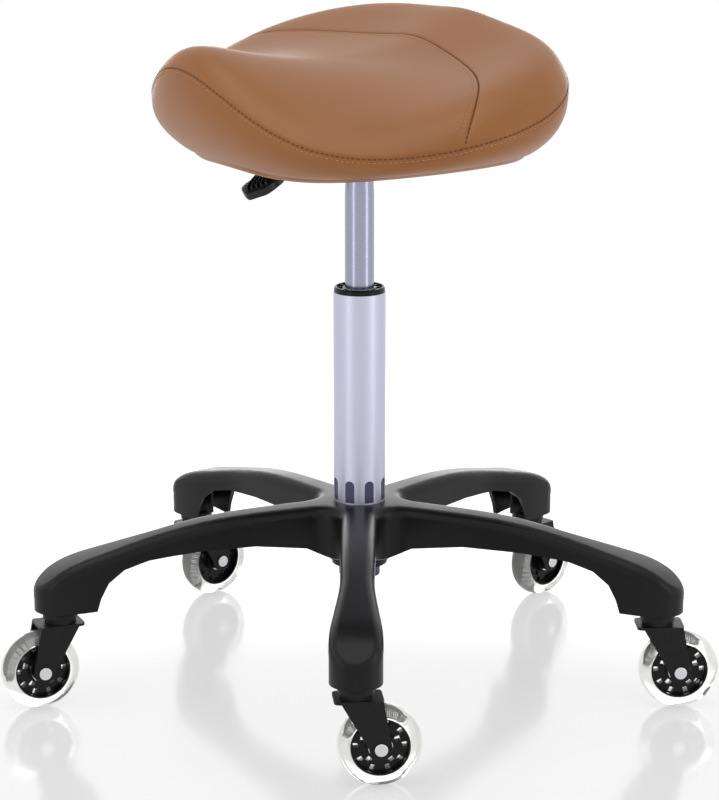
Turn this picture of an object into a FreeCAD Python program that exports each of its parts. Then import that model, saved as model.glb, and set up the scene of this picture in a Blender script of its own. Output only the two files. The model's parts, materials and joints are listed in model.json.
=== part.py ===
"""Rolling saddle stool: five-arm base on casters, gas-lift column, upholstered saddle seat.

Millimetres, +Z up, floor at z = 0. The seat's front (the raised nose) faces -Y.
Everything is modelled about the column axis and moved at the end, so that the
origin lies on the floor in the middle of the stool's footprint.
"""
import FreeCAD, Part
import math
import os

from FreeCAD import Vector

# Fits and gaps
RUN_GAP = 0.05            # radial gap of a running fit
LOOSE_GAP = 0.08          # radial gap inside the gas lift
SOFT_GAP = 0.5            # gap between foam, board and cover
PART_GAP = 0.3            # gap between faces that move past each other
BOLT_GAP = 0.2            # radial gap round a fastener
CUT_PAST = 1.0            # how far a cutter runs past the face it opens
TALL = 1000.0             # height of prisms that reach past everything

# Five-arm base
ARM_COUNT = 5
ARM_TURN = -32.1          # direction of the first arm, degrees from +X
CASTER_RADIUS = 299.0     # column axis to caster stem
ARM_END_Z = 95.6          # underside of the arm's end, where the caster seats
HUB_TOP_Z = 180.0
HUB_BOTTOM_Z = 121.0
HUB_RADIUS = 31.0
HUB_RING_RADIUS = 27.0
HUB_RING_HEIGHT = 6.0
ARM_ROOT_WIDTH = 37.0
ARM_WAIST_WIDTH = 32.0
ARM_WAIST_RADIUS = 190.0
ARM_END_WIDTH = 49.0
ARM_WEB_INSET = 3.0       # the web stands back from the rounded top flange
ARM_FLANGE_DEPTH = 11.5
ARM_EDGE_ROUND = 10.0
ARM_WALL = 4.0
ARM_ROOF = 5.0
ARM_CROTCH_ROUND = 22.0   # round between neighbouring arms, seen from above
SOCKET_RADIUS = 10.5      # boss in the arm's end that holds the caster stem
STEM_RADIUS = 5.5
STEM_GRIP_LENGTH = 30.0
STEM_HEAD = 2.5
STEM_HEAD_RADIUS = 7.5
RIB_THICKNESS = 3.0
RIB_SETBACK = 4.0         # ribs stop short of the arm's underside
ARM_WEB_END_INSET = 0.3   # the web all but meets the flange's edge round the arm's end
ARM_TOP = (               # crest of the arms: distance from the column, height
    (0.0, HUB_TOP_Z), (100.0, 176.0), (160.0, 171.0), (207.0, 162.0), (263.0, 149.0),
    (288.0, 142.0), (302.0, 135.5), (314.0, 127.0), (326.0, 117.0),
)
ARM_UNDER = (             # underside of the arms' web
    (0.0, HUB_BOTTOM_Z), (30.0, HUB_BOTTOM_Z), (60.0, 137.0), (110.0, 143.5), (165.0, 143.0),
    (215.0, 139.0), (240.0, 133.0), (256.0, 122.0), (264.0, 108.0), (268.0, ARM_END_Z), (326.0, ARM_END_Z),
)

# Caster
WHEEL_RADIUS = 38.0
TYRE_WIDTH = 24.0
TYRE_INNER_RADIUS = 27.0
HUB_WIDTH = 20.0
WHEEL_TRAIL = 21.0
FORK_INNER_WIDTH = 27.0
FORK_THICKNESS = 2.5
FORK_PLATE_Z = 80.5       # underside of the fork's top plate
FORK_PLATE_HALF = 20.5
FORK_FOOT_RADIUS = 10.5
RACE_RADIUS = 16.5
RACE_EDGE_HEIGHT = 3.5
RACE_TAPER = 1.5
AXLE_RADIUS = 4.0
BEARING_RADIUS = 11.0
BEARING_WIDTH = 7.0
BOLT_HEAD_RADIUS = 6.0
BOLT_HEAD_HEIGHT = 3.0
OUTER_WINDOWS = 10
INNER_WINDOWS = 5
HUB_RIM = 1.8
HUB_WEB = 8.0
HUB_BOSS_WALL = 2.0
HUB_BORE_GAP = 2.5        # hub's bore clear of the axle between the bearings
WINDOW_MARGIN = 1.0       # solid hub left round the windows
OUTER_WINDOW_WIDTH = 4.8
INNER_WINDOW_WIDTH = 5.6
TYRE_CROWN = 6.5
FORK_BACK = 24.0
FORK_CORNER = 5.0
FORK_RACE_SEAT = 15.0     # radius of the raised seat under the swivel race
FORK_SEAT_HEIGHT = 4.0
CASTER_TRAILS = (63.9, 61.0, 102.6, 98.8, 261.0)   # way each wheel trails, degrees from +X

# Gas lift
TUBE_RADIUS = 25.0
TUBE_WALL = 1.5
TUBE_TOP_Z = 385.0
TUBE_FOOT_RADIUS = 20.0
TUBE_FOOT_Z = 103.0
TUBE_TAPER_LOW_Z = 115.0
TUBE_TAPER_HIGH_Z = 150.0
TUBE_FLOOR_Z = 108.0
TUBE_FLOOR_THICKNESS = 3.0
FLUTE_COUNT = 8
FLUTE_WIDTH = 9.5
FLUTE_HEIGHT = 22.0
FLUTE_DEPTH = 1.0
FLUTE_TURN = -9.0
COLLAR_HEIGHT = 5.0
COLLAR_RIM = 2.5
COLLAR_LIP = 2.5
GROOVE_DEPTH = 2.5
GROOVE_RIB = 1.2
GROOVE_RIBS = 12
COLLAR_RECESS = 0.5       # the collar is this much narrower than the tube
GROOVE_RIB_DROP = 0.5     # ribs lie this far under the collar's top
EDGE_BREAK = 1.0
BUSH_LENGTH = 78.0
LIFT_RADIUS = 14.0        # chromed inner tube
LIFT_WALL = 2.0
LIFT_STROKE = 100.0       # how far the seat comes down from its highest
STOP_GAP = 4.0            # left between collar and socket at the lowest seat
LIFT_LENGTH = 201.0
LIFT_PROUD = 2.0          # the lift stands this far out of its socket
CONE_LENGTH = 30.0
CONE_TOP_RADIUS = 13.2
PISTON_ROD_RADIUS = 5.0
PISTON_LENGTH = 16.0
PISTON_GROOVE_DEPTH = 1.5
PISTON_GROOVE = 4.0
GLAND_LENGTH = 14.0
GLAND_SETBACK = 2.0
LIFT_CAP = 8.0
VALVE_LENGTH = 15.0
THRUST_RADIUS = 12.0
BUMPER_RADIUS = 11.0
BUMPER_WAIST = 9.0
BUMPER_HEIGHT = 14.0
BEARING_HEIGHT = 9.0
CLIP_RADIUS = 9.0
CLIP_THICKNESS = 1.5
RELEASE_RADIUS = 3.5
RELEASE_STAND = 5.0       # how far the release pin stands above the lift's top
RELEASE_DOME = 7.0

# Seat plate and lever
BOARD_RISE = 20.0         # from the socket's top to the underside of the seat board
PLATE_SIZE = 156.0
PLATE_THICKNESS = 2.5
PLATE_CORNER = 14.0
DISH_RADIUS = 52.0
DISH_DEPTH = 24.0
DISH_SLOPE = 4.0          # the dish narrows by this much to its floor
PLATE_BOLT_SPACING = 120.0
BOLT_RADIUS = 3.0
SEAT_BOLT_LENGTH = 16.0
BOLT_HEAD_SHARE = 1.8     # head, and washer, over the shank's radius
WASHER_SHARE = 2.2
SOCKET_OUTER_RADIUS = 19.0
SOCKET_LENGTH = 13.0
LEVER_TURN = 225.0        # direction the lever points, degrees from +X
LEVER_DROOP = 20.0
LEVER_PIVOT_REACH = 20.0
LEVER_ROD_RADIUS = 4.0
LEVER_LENGTH = 98.0       # pivot to the paddle's blunt end, along the lever
PADDLE_LENGTH = 40.0
PADDLE_WIDTH = 38.0
PADDLE_THICKNESS = 9.0
PADDLE_RIBS = 5
RIB_HEIGHT = 1.6
PADDLE_ROOT = 8.0         # the paddle widens over this length
PADDLE_BEVEL = 9.0
PADDLE_MARGIN = 4.0       # smooth border beside the ribs
LEVER_BOSS_RADIUS = 5.5
LEVER_SLOT_WIDTH = 11.0
EAR_LENGTH = 14.0
LINING = 1.0              # black dust cover under the board
WASHER_THICKNESS = 1.2
TEE_NUT_RADIUS = 4.2
TEE_NUT_FLANGE = 1.2
TONGUE_WIDTH = 12.0
TONGUE_THICKNESS = 3.0
TONGUE_PAST = 6.0         # the tongue runs on past the column axis
PIVOT_PIN_RADIUS = 2.5
EAR_GAP = 14.0
EAR_THICKNESS = 2.5
EAR_SHIFT = 2.0           # ears stand this far outside the pivot

# Heights that follow from the column's top
SOCKET_BOTTOM_Z = TUBE_TOP_Z + COLLAR_HEIGHT + LIFT_STROKE + STOP_GAP
SOCKET_TOP_Z = SOCKET_BOTTOM_Z + SOCKET_LENGTH
LIFT_TOP_Z = SOCKET_TOP_Z + LIFT_PROUD
LIFT_BOTTOM_Z = LIFT_TOP_Z - LIFT_LENGTH
LEVER_PIVOT_Z = SOCKET_TOP_Z + LEVER_BOSS_RADIUS + 2 * PART_GAP
LEVER_SLOT_TOP_Z = LEVER_PIVOT_Z + LEVER_ROD_RADIUS
BOARD_Z = SOCKET_TOP_Z + BOARD_RISE
PLATE_LOW_Z = BOARD_Z - LINING - PLATE_THICKNESS

# Seat; heights are above the underside of its board
BOARD_THICKNESS = 12.0
COVER_THICKNESS = 2.0
SEAT_FRONT = 195.0        # column axis to the nose
SEAT_REAR = 148.0
SEAT_HALF_WIDTH = 230.0
SEAT_WIDEST = 5.0         # where it is widest, forward of the column
FLANK_RADIUS = 150.0      # curve of the flanks ahead of the widest place
REAR_CURVE_RADIUS = 600.0
BOARD_INSET = 42.0        # board's edge inside the seat's outline
BOARD_REAR_INSET = 66.0
LINING_INSET = 8.0        # the dust cover's edge inside the board's
SIDE_RINGS = (            # height, tuck at nose and flanks, tuck at the rear
    (-22.0, 52.0, 84.0), (0.0, 38.0, 62.0), (9.0, 17.0, 32.0), (20.0, 5.0, 14.0),
    (35.0, 0.0, 4.0), (63.0, 0.5, 0.0), (98.0, 4.0, 4.0), (143.0, 9.0, 9.0),
)
RIM_LOWEST = 24.0         # every edge of the saddle's top lies above this
SEAM_LOWEST = 26.0
RIM_ROUND = 14.0
SEAM_INSET = 3.0
CROWN_WIDTH = 470.0       # width between the crown arcs' ends
CROWN_STATIONS = (        # distance ahead of the column, height in the middle, height at the arc's ends
    (215.0, 63.0, -15.0),
    (150.0, 103.0, 5.0),
    (85.0, 97.0, 18.0),
    (15.0, 95.0, 33.0),
    (-55.0, 113.0, 63.0),
    (-110.0, 119.0, 79.0),
    (-175.0, 81.0, 63.0),
)
ARCH_FRONT = 22.0         # where the arched seam meets the rim
ARCH_REAR = -62.0         # top of the arch
ARCH_HALF_WIDTH = 232.0

nodes = {}


def keep(name, *solids):
    """Store the solids of one sub-part under its name."""
    nodes[name] = list(solids)


def cylinder(radius, low, high, x=0.0, y=0.0):
    return Part.makeCylinder(radius, high - low, Vector(x, y, low))


def ring(outer, inner, low, high):
    return cylinder(outer, low, high).cut(cylinder(inner, low - CUT_PAST, high + CUT_PAST))


def polygon_face(points):
    """Flat face through points, closed back to the first one."""
    return Part.Face(Part.makePolygon(list(points) + [points[0]]))


def turned(points):
    """Solid turned about Z from (radius, height) points."""
    face = polygon_face([Vector(radius, 0, height) for radius, height in points])
    return face.revolve(Vector(0, 0, 0), Vector(0, 0, 1), 360)


def spin(shape, degrees, centre=Vector(0, 0, 0), axis=Vector(0, 0, 1)):
    copy = shape.copy()
    copy.rotate(centre, axis, degrees)
    return copy


def around(shape, count, start=0.0):
    """Copies of a shape at equal turns about Z."""
    return [spin(shape, start + step * 360.0 / count) for step in range(count)]


def biggest(shape):
    """The largest solid of a result, which drops stray slivers."""
    return max(shape.Solids, key=lambda solid: solid.Volume)


# Base


def arm_half_width(reach):
    """Half the arm's width at a distance from the column."""
    if reach <= ARM_WAIST_RADIUS:
        share = reach / ARM_WAIST_RADIUS
        return (ARM_ROOT_WIDTH + (ARM_WAIST_WIDTH - ARM_ROOT_WIDTH) * share) / 2
    swell = end_share(reach)
    return (ARM_WAIST_WIDTH + (ARM_END_WIDTH - ARM_WAIST_WIDTH) * swell) / 2


def end_share(reach):
    """0 at the arm's waist, 1 at the caster stem, easing at both."""
    share = (reach - ARM_WAIST_RADIUS) / (CASTER_RADIUS - ARM_WAIST_RADIUS)
    return 0.5 - 0.5 * math.cos(math.pi * min(max(share, 0.0), 1.0))


def arm_outline(inset, end_inset):
    """Flat outline of one arm, drawn along +X and rounded at its end."""
    reaches = [ARM_WAIST_RADIUS + step * (CASTER_RADIUS - ARM_WAIST_RADIUS) / 4 for step in range(5)]
    upper = []
    for reach in reaches:
        here = inset + (end_inset - inset) * end_share(reach)
        upper.append(Vector(reach, arm_half_width(reach) - here, 0))
    lower = [Vector(point.x, -point.y, 0) for point in reversed(upper)]
    root = arm_half_width(0) - inset
    tip = Vector(CASTER_RADIUS + ARM_END_WIDTH / 2 - end_inset, 0, 0)
    taper = (upper[0] - Vector(0, root, 0)).normalize()
    flank = Part.BSplineCurve()
    flank.interpolate(upper, InitialTangent=taper, FinalTangent=Vector(1, 0, 0))
    back = Part.BSplineCurve()
    back.interpolate(lower, InitialTangent=Vector(-1, 0, 0), FinalTangent=Vector(-taper.x, taper.y, 0))
    edges = [
        Part.LineSegment(Vector(0, root, 0), upper[0]).toShape(),
        flank.toShape(),
        Part.Arc(upper[-1], tip, lower[0]).toShape(),
        back.toShape(),
        Part.LineSegment(lower[-1], Vector(0, -root, 0)).toShape(),
        Part.LineSegment(Vector(0, -root, 0), Vector(0, root, 0)).toShape(),
    ]
    return Part.Face(Part.Wire(edges))


def star_prism(inset, end_inset):
    """The whole star seen from above, as a tall prism with rounded crotches."""
    height = 2 * HUB_TOP_Z
    arms = around(arm_outline(inset, end_inset).extrude(Vector(0, 0, height)), ARM_COUNT, ARM_TURN)
    prism = arms[0].fuse(arms[1:]).removeSplitter()
    corner = (ARM_ROOT_WIDTH / 2 - inset) / math.sin(math.pi / ARM_COUNT)
    crotch = []
    for edge in prism.Edges:
        middle = edge.CenterOfMass
        upright = edge.BoundBox.ZLength > height / 2
        if upright and math.hypot(middle.x, middle.y) < 1.1 * corner:
            crotch.append(edge)
    return prism.makeFillet(ARM_CROTCH_ROUND + inset, crotch)


def band(top_drop, under):
    """Round body between the arms' top line, lowered, and an underside line, turned about Z."""
    top = [Vector(reach, 0, height - top_drop) for reach, height in ARM_TOP]
    crest = Part.BSplineCurve()
    crest.interpolate(top)
    low = [Vector(reach, 0, height) for reach, height in under]
    corners = [top[-1], Vector(top[-1].x, 0, low[-1].z)] + low[::-1] + [top[0]]
    edges = [crest.toShape()]
    for start, end in zip(corners, corners[1:]):
        if (end - start).Length > 0.001:
            edges.append(Part.LineSegment(start, end).toShape())
    face = Part.Face(Part.Wire(edges))
    face.rotate(Vector(0, 0, 0), Vector(0, 0, 1), ARM_TURN + 180 / ARM_COUNT)
    return face.revolve(Vector(0, 0, 0), Vector(0, 0, 1), 360)


def star_base():
    floor = ARM_END_Z / 2
    rim = ARM_TOP[-1][0]
    below = [(0, floor), (rim, floor)]
    deeper = [(0, floor - CUT_PAST), (rim, floor - CUT_PAST)]
    # rounded flange along the top of hub and arms
    block = star_prism(0, 0).common(band(0, below))
    crest = [edge for edge in block.Edges if on_crest(edge)]
    flange = block.makeFillet(ARM_EDGE_ROUND, crest).cut(band(ARM_FLANGE_DEPTH, deeper))
    # deep web under it
    web = star_prism(ARM_WEB_INSET, ARM_WEB_END_INSET).common(band(ARM_FLANGE_DEPTH / 2, ARM_UNDER))
    web = web.cut(cylinder(HUB_RADIUS - CUT_PAST, 0, 2 * HUB_TOP_Z))
    base = flange.fuse(web)
    base = base.fuse(cylinder(HUB_RADIUS, HUB_BOTTOM_Z, HUB_TOP_Z - ARM_FLANGE_DEPTH))
    base = base.fuse(cylinder(HUB_RING_RADIUS, HUB_BOTTOM_Z - HUB_RING_HEIGHT, HUB_TOP_Z - ARM_FLANGE_DEPTH))
    # open underneath, round the hub, the stem bosses and their ribs
    hollow = star_prism(ARM_WEB_INSET + ARM_WALL, ARM_WALL).common(band(ARM_ROOF, deeper))
    rib = Part.makeBox(4 * SOCKET_RADIUS, RIB_THICKNESS, HUB_TOP_Z)
    rib.translate(Vector(CASTER_RADIUS - 3 * SOCKET_RADIUS, -RIB_THICKNESS / 2, ARM_END_Z + RIB_SETBACK))
    kept = [cylinder(HUB_RADIUS, 0, HUB_TOP_Z)]
    kept += around(cylinder(SOCKET_RADIUS, ARM_END_Z, HUB_TOP_Z, CASTER_RADIUS), ARM_COUNT, ARM_TURN)
    kept += around(rib, ARM_COUNT, ARM_TURN)
    base = base.cut(hollow.cut(kept))
    # taper that grips the column, and the stem sockets
    taper = turned([
        (0, floor), (TUBE_FOOT_RADIUS, floor), (TUBE_FOOT_RADIUS, TUBE_TAPER_LOW_Z),
        (TUBE_RADIUS, TUBE_TAPER_HIGH_Z), (TUBE_RADIUS, 2 * HUB_TOP_Z), (0, 2 * HUB_TOP_Z),
    ])
    hole = cylinder(STEM_RADIUS, floor, ARM_END_Z + STEM_GRIP_LENGTH, CASTER_RADIUS)
    return biggest(base.cut([taper] + around(hole, ARM_COUNT, ARM_TURN)))


def on_crest(edge):
    """Whether an edge of the star block runs along its top face."""
    box = edge.BoundBox
    upright = box.XLength < 0.01 and box.YLength < 0.01
    middle = edge.valueAt((edge.FirstParameter + edge.LastParameter) / 2)
    return not upright and middle.z > top_line(math.hypot(middle.x, middle.y)) - ARM_WALL


def top_line(reach):
    """Height of the arms' crest at a distance from the column, read straight between its points."""
    for (near, high), (far, low) in zip(ARM_TOP, ARM_TOP[1:]):
        if near <= reach <= far:
            return high + (low - high) * (reach - near) / (far - near)
    return ARM_TOP[-1][1]


# Gas lift


def lift_radius(height):
    """Outside radius of the inner tube, which tapers over its top end."""
    cone_low = LIFT_TOP_Z - CONE_LENGTH
    share = max(height - cone_low, 0.0) / CONE_LENGTH
    return LIFT_RADIUS + (CONE_TOP_RADIUS - LIFT_RADIUS) * share


def outer_tube():
    inner = TUBE_RADIUS - TUBE_WALL
    foot_inner = TUBE_FOOT_RADIUS - TUBE_WALL
    floor_top = TUBE_FLOOR_Z + TUBE_FLOOR_THICKNESS
    bore = PISTON_ROD_RADIUS + 2 * RUN_GAP
    tube = turned([
        (bore, TUBE_FLOOR_Z), (foot_inner, TUBE_FLOOR_Z), (foot_inner, TUBE_FOOT_Z),
        (TUBE_FOOT_RADIUS, TUBE_FOOT_Z), (TUBE_FOOT_RADIUS, TUBE_TAPER_LOW_Z),
        (TUBE_RADIUS, TUBE_TAPER_HIGH_Z), (TUBE_RADIUS, TUBE_TOP_Z), (inner, TUBE_TOP_Z),
        (inner, TUBE_TAPER_HIGH_Z), (foot_inner, TUBE_TAPER_LOW_Z), (foot_inner, floor_top), (bore, floor_top),
    ])
    # pressed flutes round the foot, domed at their tops
    half = FLUTE_WIDTH / 2
    flat_top = HUB_TOP_Z + FLUTE_HEIGHT - half
    slot = Part.Wire([
        Part.LineSegment(Vector(0, -half, HUB_TOP_Z), Vector(0, half, HUB_TOP_Z)).toShape(),
        Part.LineSegment(Vector(0, half, HUB_TOP_Z), Vector(0, half, flat_top)).toShape(),
        Part.Arc(Vector(0, half, flat_top), Vector(0, 0, flat_top + half), Vector(0, -half, flat_top)).toShape(),
        Part.LineSegment(Vector(0, -half, flat_top), Vector(0, -half, HUB_TOP_Z)).toShape(),
    ])
    cutter = Part.Face(slot).extrude(Vector(TUBE_RADIUS, 0, 0))
    cutter.translate(Vector(TUBE_RADIUS - FLUTE_DEPTH, 0, 0))
    for copy in around(cutter, FLUTE_COUNT, FLUTE_TURN):
        tube = tube.cut(copy)
    return tube


def guide_bush():
    collar = TUBE_RADIUS - COLLAR_RECESS
    bore = LIFT_RADIUS + RUN_GAP
    top = TUBE_TOP_Z + COLLAR_HEIGHT
    bush = turned([
        (bore, TUBE_TOP_Z - BUSH_LENGTH), (TUBE_RADIUS - TUBE_WALL, TUBE_TOP_Z - BUSH_LENGTH),
        (TUBE_RADIUS - TUBE_WALL, TUBE_TOP_Z), (collar, TUBE_TOP_Z), (collar, top - EDGE_BREAK),
        (collar - EDGE_BREAK, top), (collar - COLLAR_RIM, top), (collar - COLLAR_RIM, top - GROOVE_DEPTH),
        (bore + COLLAR_LIP, top - GROOVE_DEPTH), (bore + COLLAR_LIP, top - EDGE_BREAK), (bore, top - EDGE_BREAK),
    ])
    # short ribs that stand across the groove in the collar's top
    inner = bore + COLLAR_LIP
    rib = Part.makeBox(collar - COLLAR_RIM - inner + EDGE_BREAK, GROOVE_RIB, GROOVE_DEPTH - GROOVE_RIB_DROP)
    rib.translate(Vector(inner - EDGE_BREAK / 2, -GROOVE_RIB / 2, top - GROOVE_DEPTH))
    return bush.fuse(around(rib, GROOVE_RIBS))


def lift_tube():
    bore = LIFT_RADIUS - LIFT_WALL
    cone_low = LIFT_TOP_Z - CONE_LENGTH
    hole = RELEASE_RADIUS + LOOSE_GAP
    return turned([
        (bore, LIFT_BOTTOM_Z), (LIFT_RADIUS, LIFT_BOTTOM_Z), (LIFT_RADIUS, cone_low),
        (CONE_TOP_RADIUS, LIFT_TOP_Z), (hole, LIFT_TOP_Z), (hole, LIFT_TOP_Z - LIFT_CAP),
        (bore, LIFT_TOP_Z - LIFT_CAP),
    ])


def release_pin():
    top = LIFT_TOP_Z + RELEASE_STAND
    low = LIFT_TOP_Z - LIFT_CAP - VALVE_LENGTH
    rod = cylinder(RELEASE_RADIUS, low, top)
    dome = Part.makeSphere(RELEASE_DOME, Vector(0, 0, top - RELEASE_DOME))
    body = cylinder(2 * RELEASE_RADIUS, low - CUT_PAST, top - RELEASE_DOME)
    return biggest(rod.common(dome.fuse(body)))


def build_gas_lift():
    bore = LIFT_RADIUS - LIFT_WALL
    floor_top = TUBE_FLOOR_Z + TUBE_FLOOR_THICKNESS
    rod_bottom = TUBE_FLOOR_Z - PART_GAP - 2 * CLIP_THICKNESS
    piston_low = LIFT_BOTTOM_Z + GLAND_SETBACK + GLAND_LENGTH + GLAND_SETBACK
    keep("outer_tube", outer_tube())
    keep("guide_bush", guide_bush())
    race = BEARING_HEIGHT / 4
    rod_hole = PISTON_ROD_RADIUS + LOOSE_GAP
    keep("thrust_bearing",
         ring(THRUST_RADIUS, rod_hole, floor_top, floor_top + race),
         ring(THRUST_RADIUS - EDGE_BREAK, rod_hole + EDGE_BREAK, floor_top + race, floor_top + 3 * race))
    washer_low = floor_top + 3 * race + PART_GAP
    keep("thrust_washer", ring(THRUST_RADIUS, PISTON_ROD_RADIUS, washer_low, washer_low + race))
    bumper_low = washer_low + race
    keep("rubber_bumper", turned([
        (PISTON_ROD_RADIUS, bumper_low), (BUMPER_RADIUS, bumper_low),
        (BUMPER_WAIST, bumper_low + BUMPER_HEIGHT / 2), (BUMPER_RADIUS, bumper_low + BUMPER_HEIGHT),
        (PISTON_ROD_RADIUS, bumper_low + BUMPER_HEIGHT),
    ]))
    clip_top = TUBE_FLOOR_Z - PART_GAP
    keep("retaining_clip", ring(CLIP_RADIUS, PISTON_ROD_RADIUS, clip_top - CLIP_THICKNESS, clip_top))
    keep("piston_rod", cylinder(PISTON_ROD_RADIUS, rod_bottom, piston_low + PISTON_LENGTH))
    groove_low = piston_low + (PISTON_LENGTH - PISTON_GROOVE) / 2
    groove_radius = bore - PISTON_GROOVE_DEPTH
    keep("piston", turned([
        (PISTON_ROD_RADIUS, piston_low), (bore - LOOSE_GAP, piston_low), (bore - LOOSE_GAP, groove_low),
        (groove_radius, groove_low), (groove_radius, groove_low + PISTON_GROOVE),
        (bore - LOOSE_GAP, groove_low + PISTON_GROOVE), (bore - LOOSE_GAP, piston_low + PISTON_LENGTH),
        (PISTON_ROD_RADIUS, piston_low + PISTON_LENGTH),
    ]))
    keep("lift_tube", lift_tube())
    gland_low = LIFT_BOTTOM_Z + GLAND_SETBACK
    keep("rod_gland", ring(bore, PISTON_ROD_RADIUS + RUN_GAP, gland_low, gland_low + GLAND_LENGTH))
    valve_top = LIFT_TOP_Z - LIFT_CAP
    keep("valve_body", ring(bore, RELEASE_RADIUS + LOOSE_GAP, valve_top - VALVE_LENGTH, valve_top))
    keep("release_pin", release_pin())


# Seat plate and lever


def rounded_square(size, corner, low, high):
    block = Part.makeBox(size, size, high - low, Vector(-size / 2, -size / 2, low))
    upright = [edge for edge in block.Edges if edge.BoundBox.ZLength > (high - low) / 2]
    return block.makeFillet(corner, upright)


def bolt_places():
    half = PLATE_BOLT_SPACING / 2
    return [(x, y) for x in (-half, half) for y in (-half, half)]


def seat_plate():
    top = BOARD_Z - LINING
    floor = top - DISH_DEPTH
    lip = top - PLATE_THICKNESS
    flange = rounded_square(PLATE_SIZE, PLATE_CORNER, lip, top)
    flange = flange.cut(cylinder(DISH_RADIUS, lip - CUT_PAST, top + CUT_PAST))
    rim = DISH_RADIUS + PLATE_THICKNESS
    dish = turned([
        (SOCKET_OUTER_RADIUS, floor), (DISH_RADIUS - DISH_SLOPE, floor), (rim, lip), (rim, top), (DISH_RADIUS, top),
        (DISH_RADIUS - DISH_SLOPE - PLATE_THICKNESS, floor + PLATE_THICKNESS),
        (SOCKET_OUTER_RADIUS, floor + PLATE_THICKNESS),
    ])
    plate = flange.fuse(dish)
    for x, y in bolt_places():
        plate = plate.cut(cylinder(BOLT_RADIUS + BOLT_GAP, lip - CUT_PAST, top + CUT_PAST, x, y))
    # slot for the lever, and the two ears that carry its pivot pin
    slot = Part.makeBox(DISH_RADIUS, LEVER_SLOT_WIDTH, LEVER_SLOT_TOP_Z - floor + CUT_PAST)
    slot.translate(Vector(LEVER_PIVOT_REACH + LEVER_ROD_RADIUS, -LEVER_SLOT_WIDTH / 2, floor - CUT_PAST))
    plate = plate.cut(spin(slot, LEVER_TURN))
    ear_low = floor + PLATE_THICKNESS / 2
    for near in (EAR_GAP / 2, -EAR_GAP / 2 - EAR_THICKNESS):
        ear = Part.makeBox(EAR_LENGTH, EAR_THICKNESS, LEVER_PIVOT_Z + EAR_LENGTH / 2 - ear_low)
        ear.translate(Vector(LEVER_PIVOT_REACH + EAR_SHIFT - EAR_LENGTH / 2, near, ear_low))
        ear = ear.cut(pivot_cylinder(PIVOT_PIN_RADIUS, 2 * EAR_GAP))
        plate = plate.fuse(spin(ear, LEVER_TURN))
    return biggest(plate.cut(cylinder(SOCKET_OUTER_RADIUS, floor - CUT_PAST, SOCKET_TOP_Z)))


def pivot_cylinder(radius, length):
    """Cylinder on the lever's pivot axis, with the lever drawn along +X."""
    start = Vector(LEVER_PIVOT_REACH, -length / 2, LEVER_PIVOT_Z)
    return Part.makeCylinder(radius, length, start, Vector(0, 1, 0))


def taper_socket():
    return turned([
        (lift_radius(SOCKET_BOTTOM_Z), SOCKET_BOTTOM_Z), (SOCKET_OUTER_RADIUS, SOCKET_BOTTOM_Z),
        (SOCKET_OUTER_RADIUS, SOCKET_TOP_Z), (lift_radius(SOCKET_TOP_Z), SOCKET_TOP_Z),
    ])


def along_lever(shape):
    """Tilt a shape drawn along +X from the origin to the lever's droop and put it on the pivot."""
    shape.rotate(Vector(0, 0, 0), Vector(0, 1, 0), LEVER_DROOP)
    shape.translate(Vector(LEVER_PIVOT_REACH, 0, LEVER_PIVOT_Z))
    return shape


def lever_rod():
    boss = pivot_cylinder(LEVER_BOSS_RADIUS, EAR_GAP - 2 * PART_GAP)
    tongue_low = LIFT_TOP_Z + RELEASE_STAND + PART_GAP
    tongue = Part.makeBox(LEVER_PIVOT_REACH + TONGUE_PAST, TONGUE_WIDTH, TONGUE_THICKNESS)
    tongue.translate(Vector(-TONGUE_PAST, -TONGUE_WIDTH / 2, tongue_low))
    rod_end = LEVER_LENGTH - PADDLE_LENGTH / 4
    rod = along_lever(Part.makeCylinder(LEVER_ROD_RADIUS, rod_end, Vector(0, 0, 0), Vector(1, 0, 0)))
    lever = boss.fuse([tongue, rod]).cut(pivot_cylinder(PIVOT_PIN_RADIUS + RUN_GAP, 2 * EAR_GAP))
    return spin(biggest(lever), LEVER_TURN)


def lever_paddle():
    start = LEVER_LENGTH - PADDLE_LENGTH
    half = PADDLE_WIDTH / 2
    wide = start + PADDLE_ROOT
    bevel = LEVER_LENGTH - PADDLE_BEVEL
    outline = [(start, half / 3), (wide, half - EDGE_BREAK), (bevel, half), (LEVER_LENGTH, half / 2)]
    points = [Vector(x, -y, 0) for x, y in outline] + [Vector(x, y, 0) for x, y in reversed(outline)]
    blade = polygon_face(points).extrude(Vector(0, 0, PADDLE_THICKNESS))
    blade.translate(Vector(0, 0, -PADDLE_THICKNESS / 2))
    # ribs across the top, left standing between shallow grooves
    pitch = (bevel - wide) / PADDLE_RIBS
    for step in range(PADDLE_RIBS):
        groove = Part.makeBox(pitch / 2, PADDLE_WIDTH - 2 * PADDLE_MARGIN, RIB_HEIGHT)
        groove.translate(Vector(wide + step * pitch, PADDLE_MARGIN - half, PADDLE_THICKNESS / 2 - RIB_HEIGHT))
        blade = blade.cut(groove)
    rod_end = LEVER_LENGTH - PADDLE_LENGTH / 4
    blade = blade.cut(Part.makeCylinder(LEVER_ROD_RADIUS, rod_end, Vector(0, 0, 0), Vector(1, 0, 0)))
    return spin(along_lever(biggest(blade)), LEVER_TURN)


def build_mechanism():
    keep("seat_plate", seat_plate())
    keep("taper_socket", taper_socket())
    keep("lever_rod", lever_rod())
    keep("lever_paddle", lever_paddle())
    keep("lever_pin", spin(pivot_cylinder(PIVOT_PIN_RADIUS, EAR_GAP + 3 * EAR_THICKNESS), LEVER_TURN))
    bolts, washers, nuts = [], [], []
    for x, y in bolt_places():
        bolts.append(seat_bolt(x, y))
        washers.append(bolt_washer(x, y))
        nuts.append(tee_nut(x, y))
    keep("seat_bolts", *bolts)
    keep("bolt_washers", *washers)
    keep("tee_nuts", *nuts)


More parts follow.
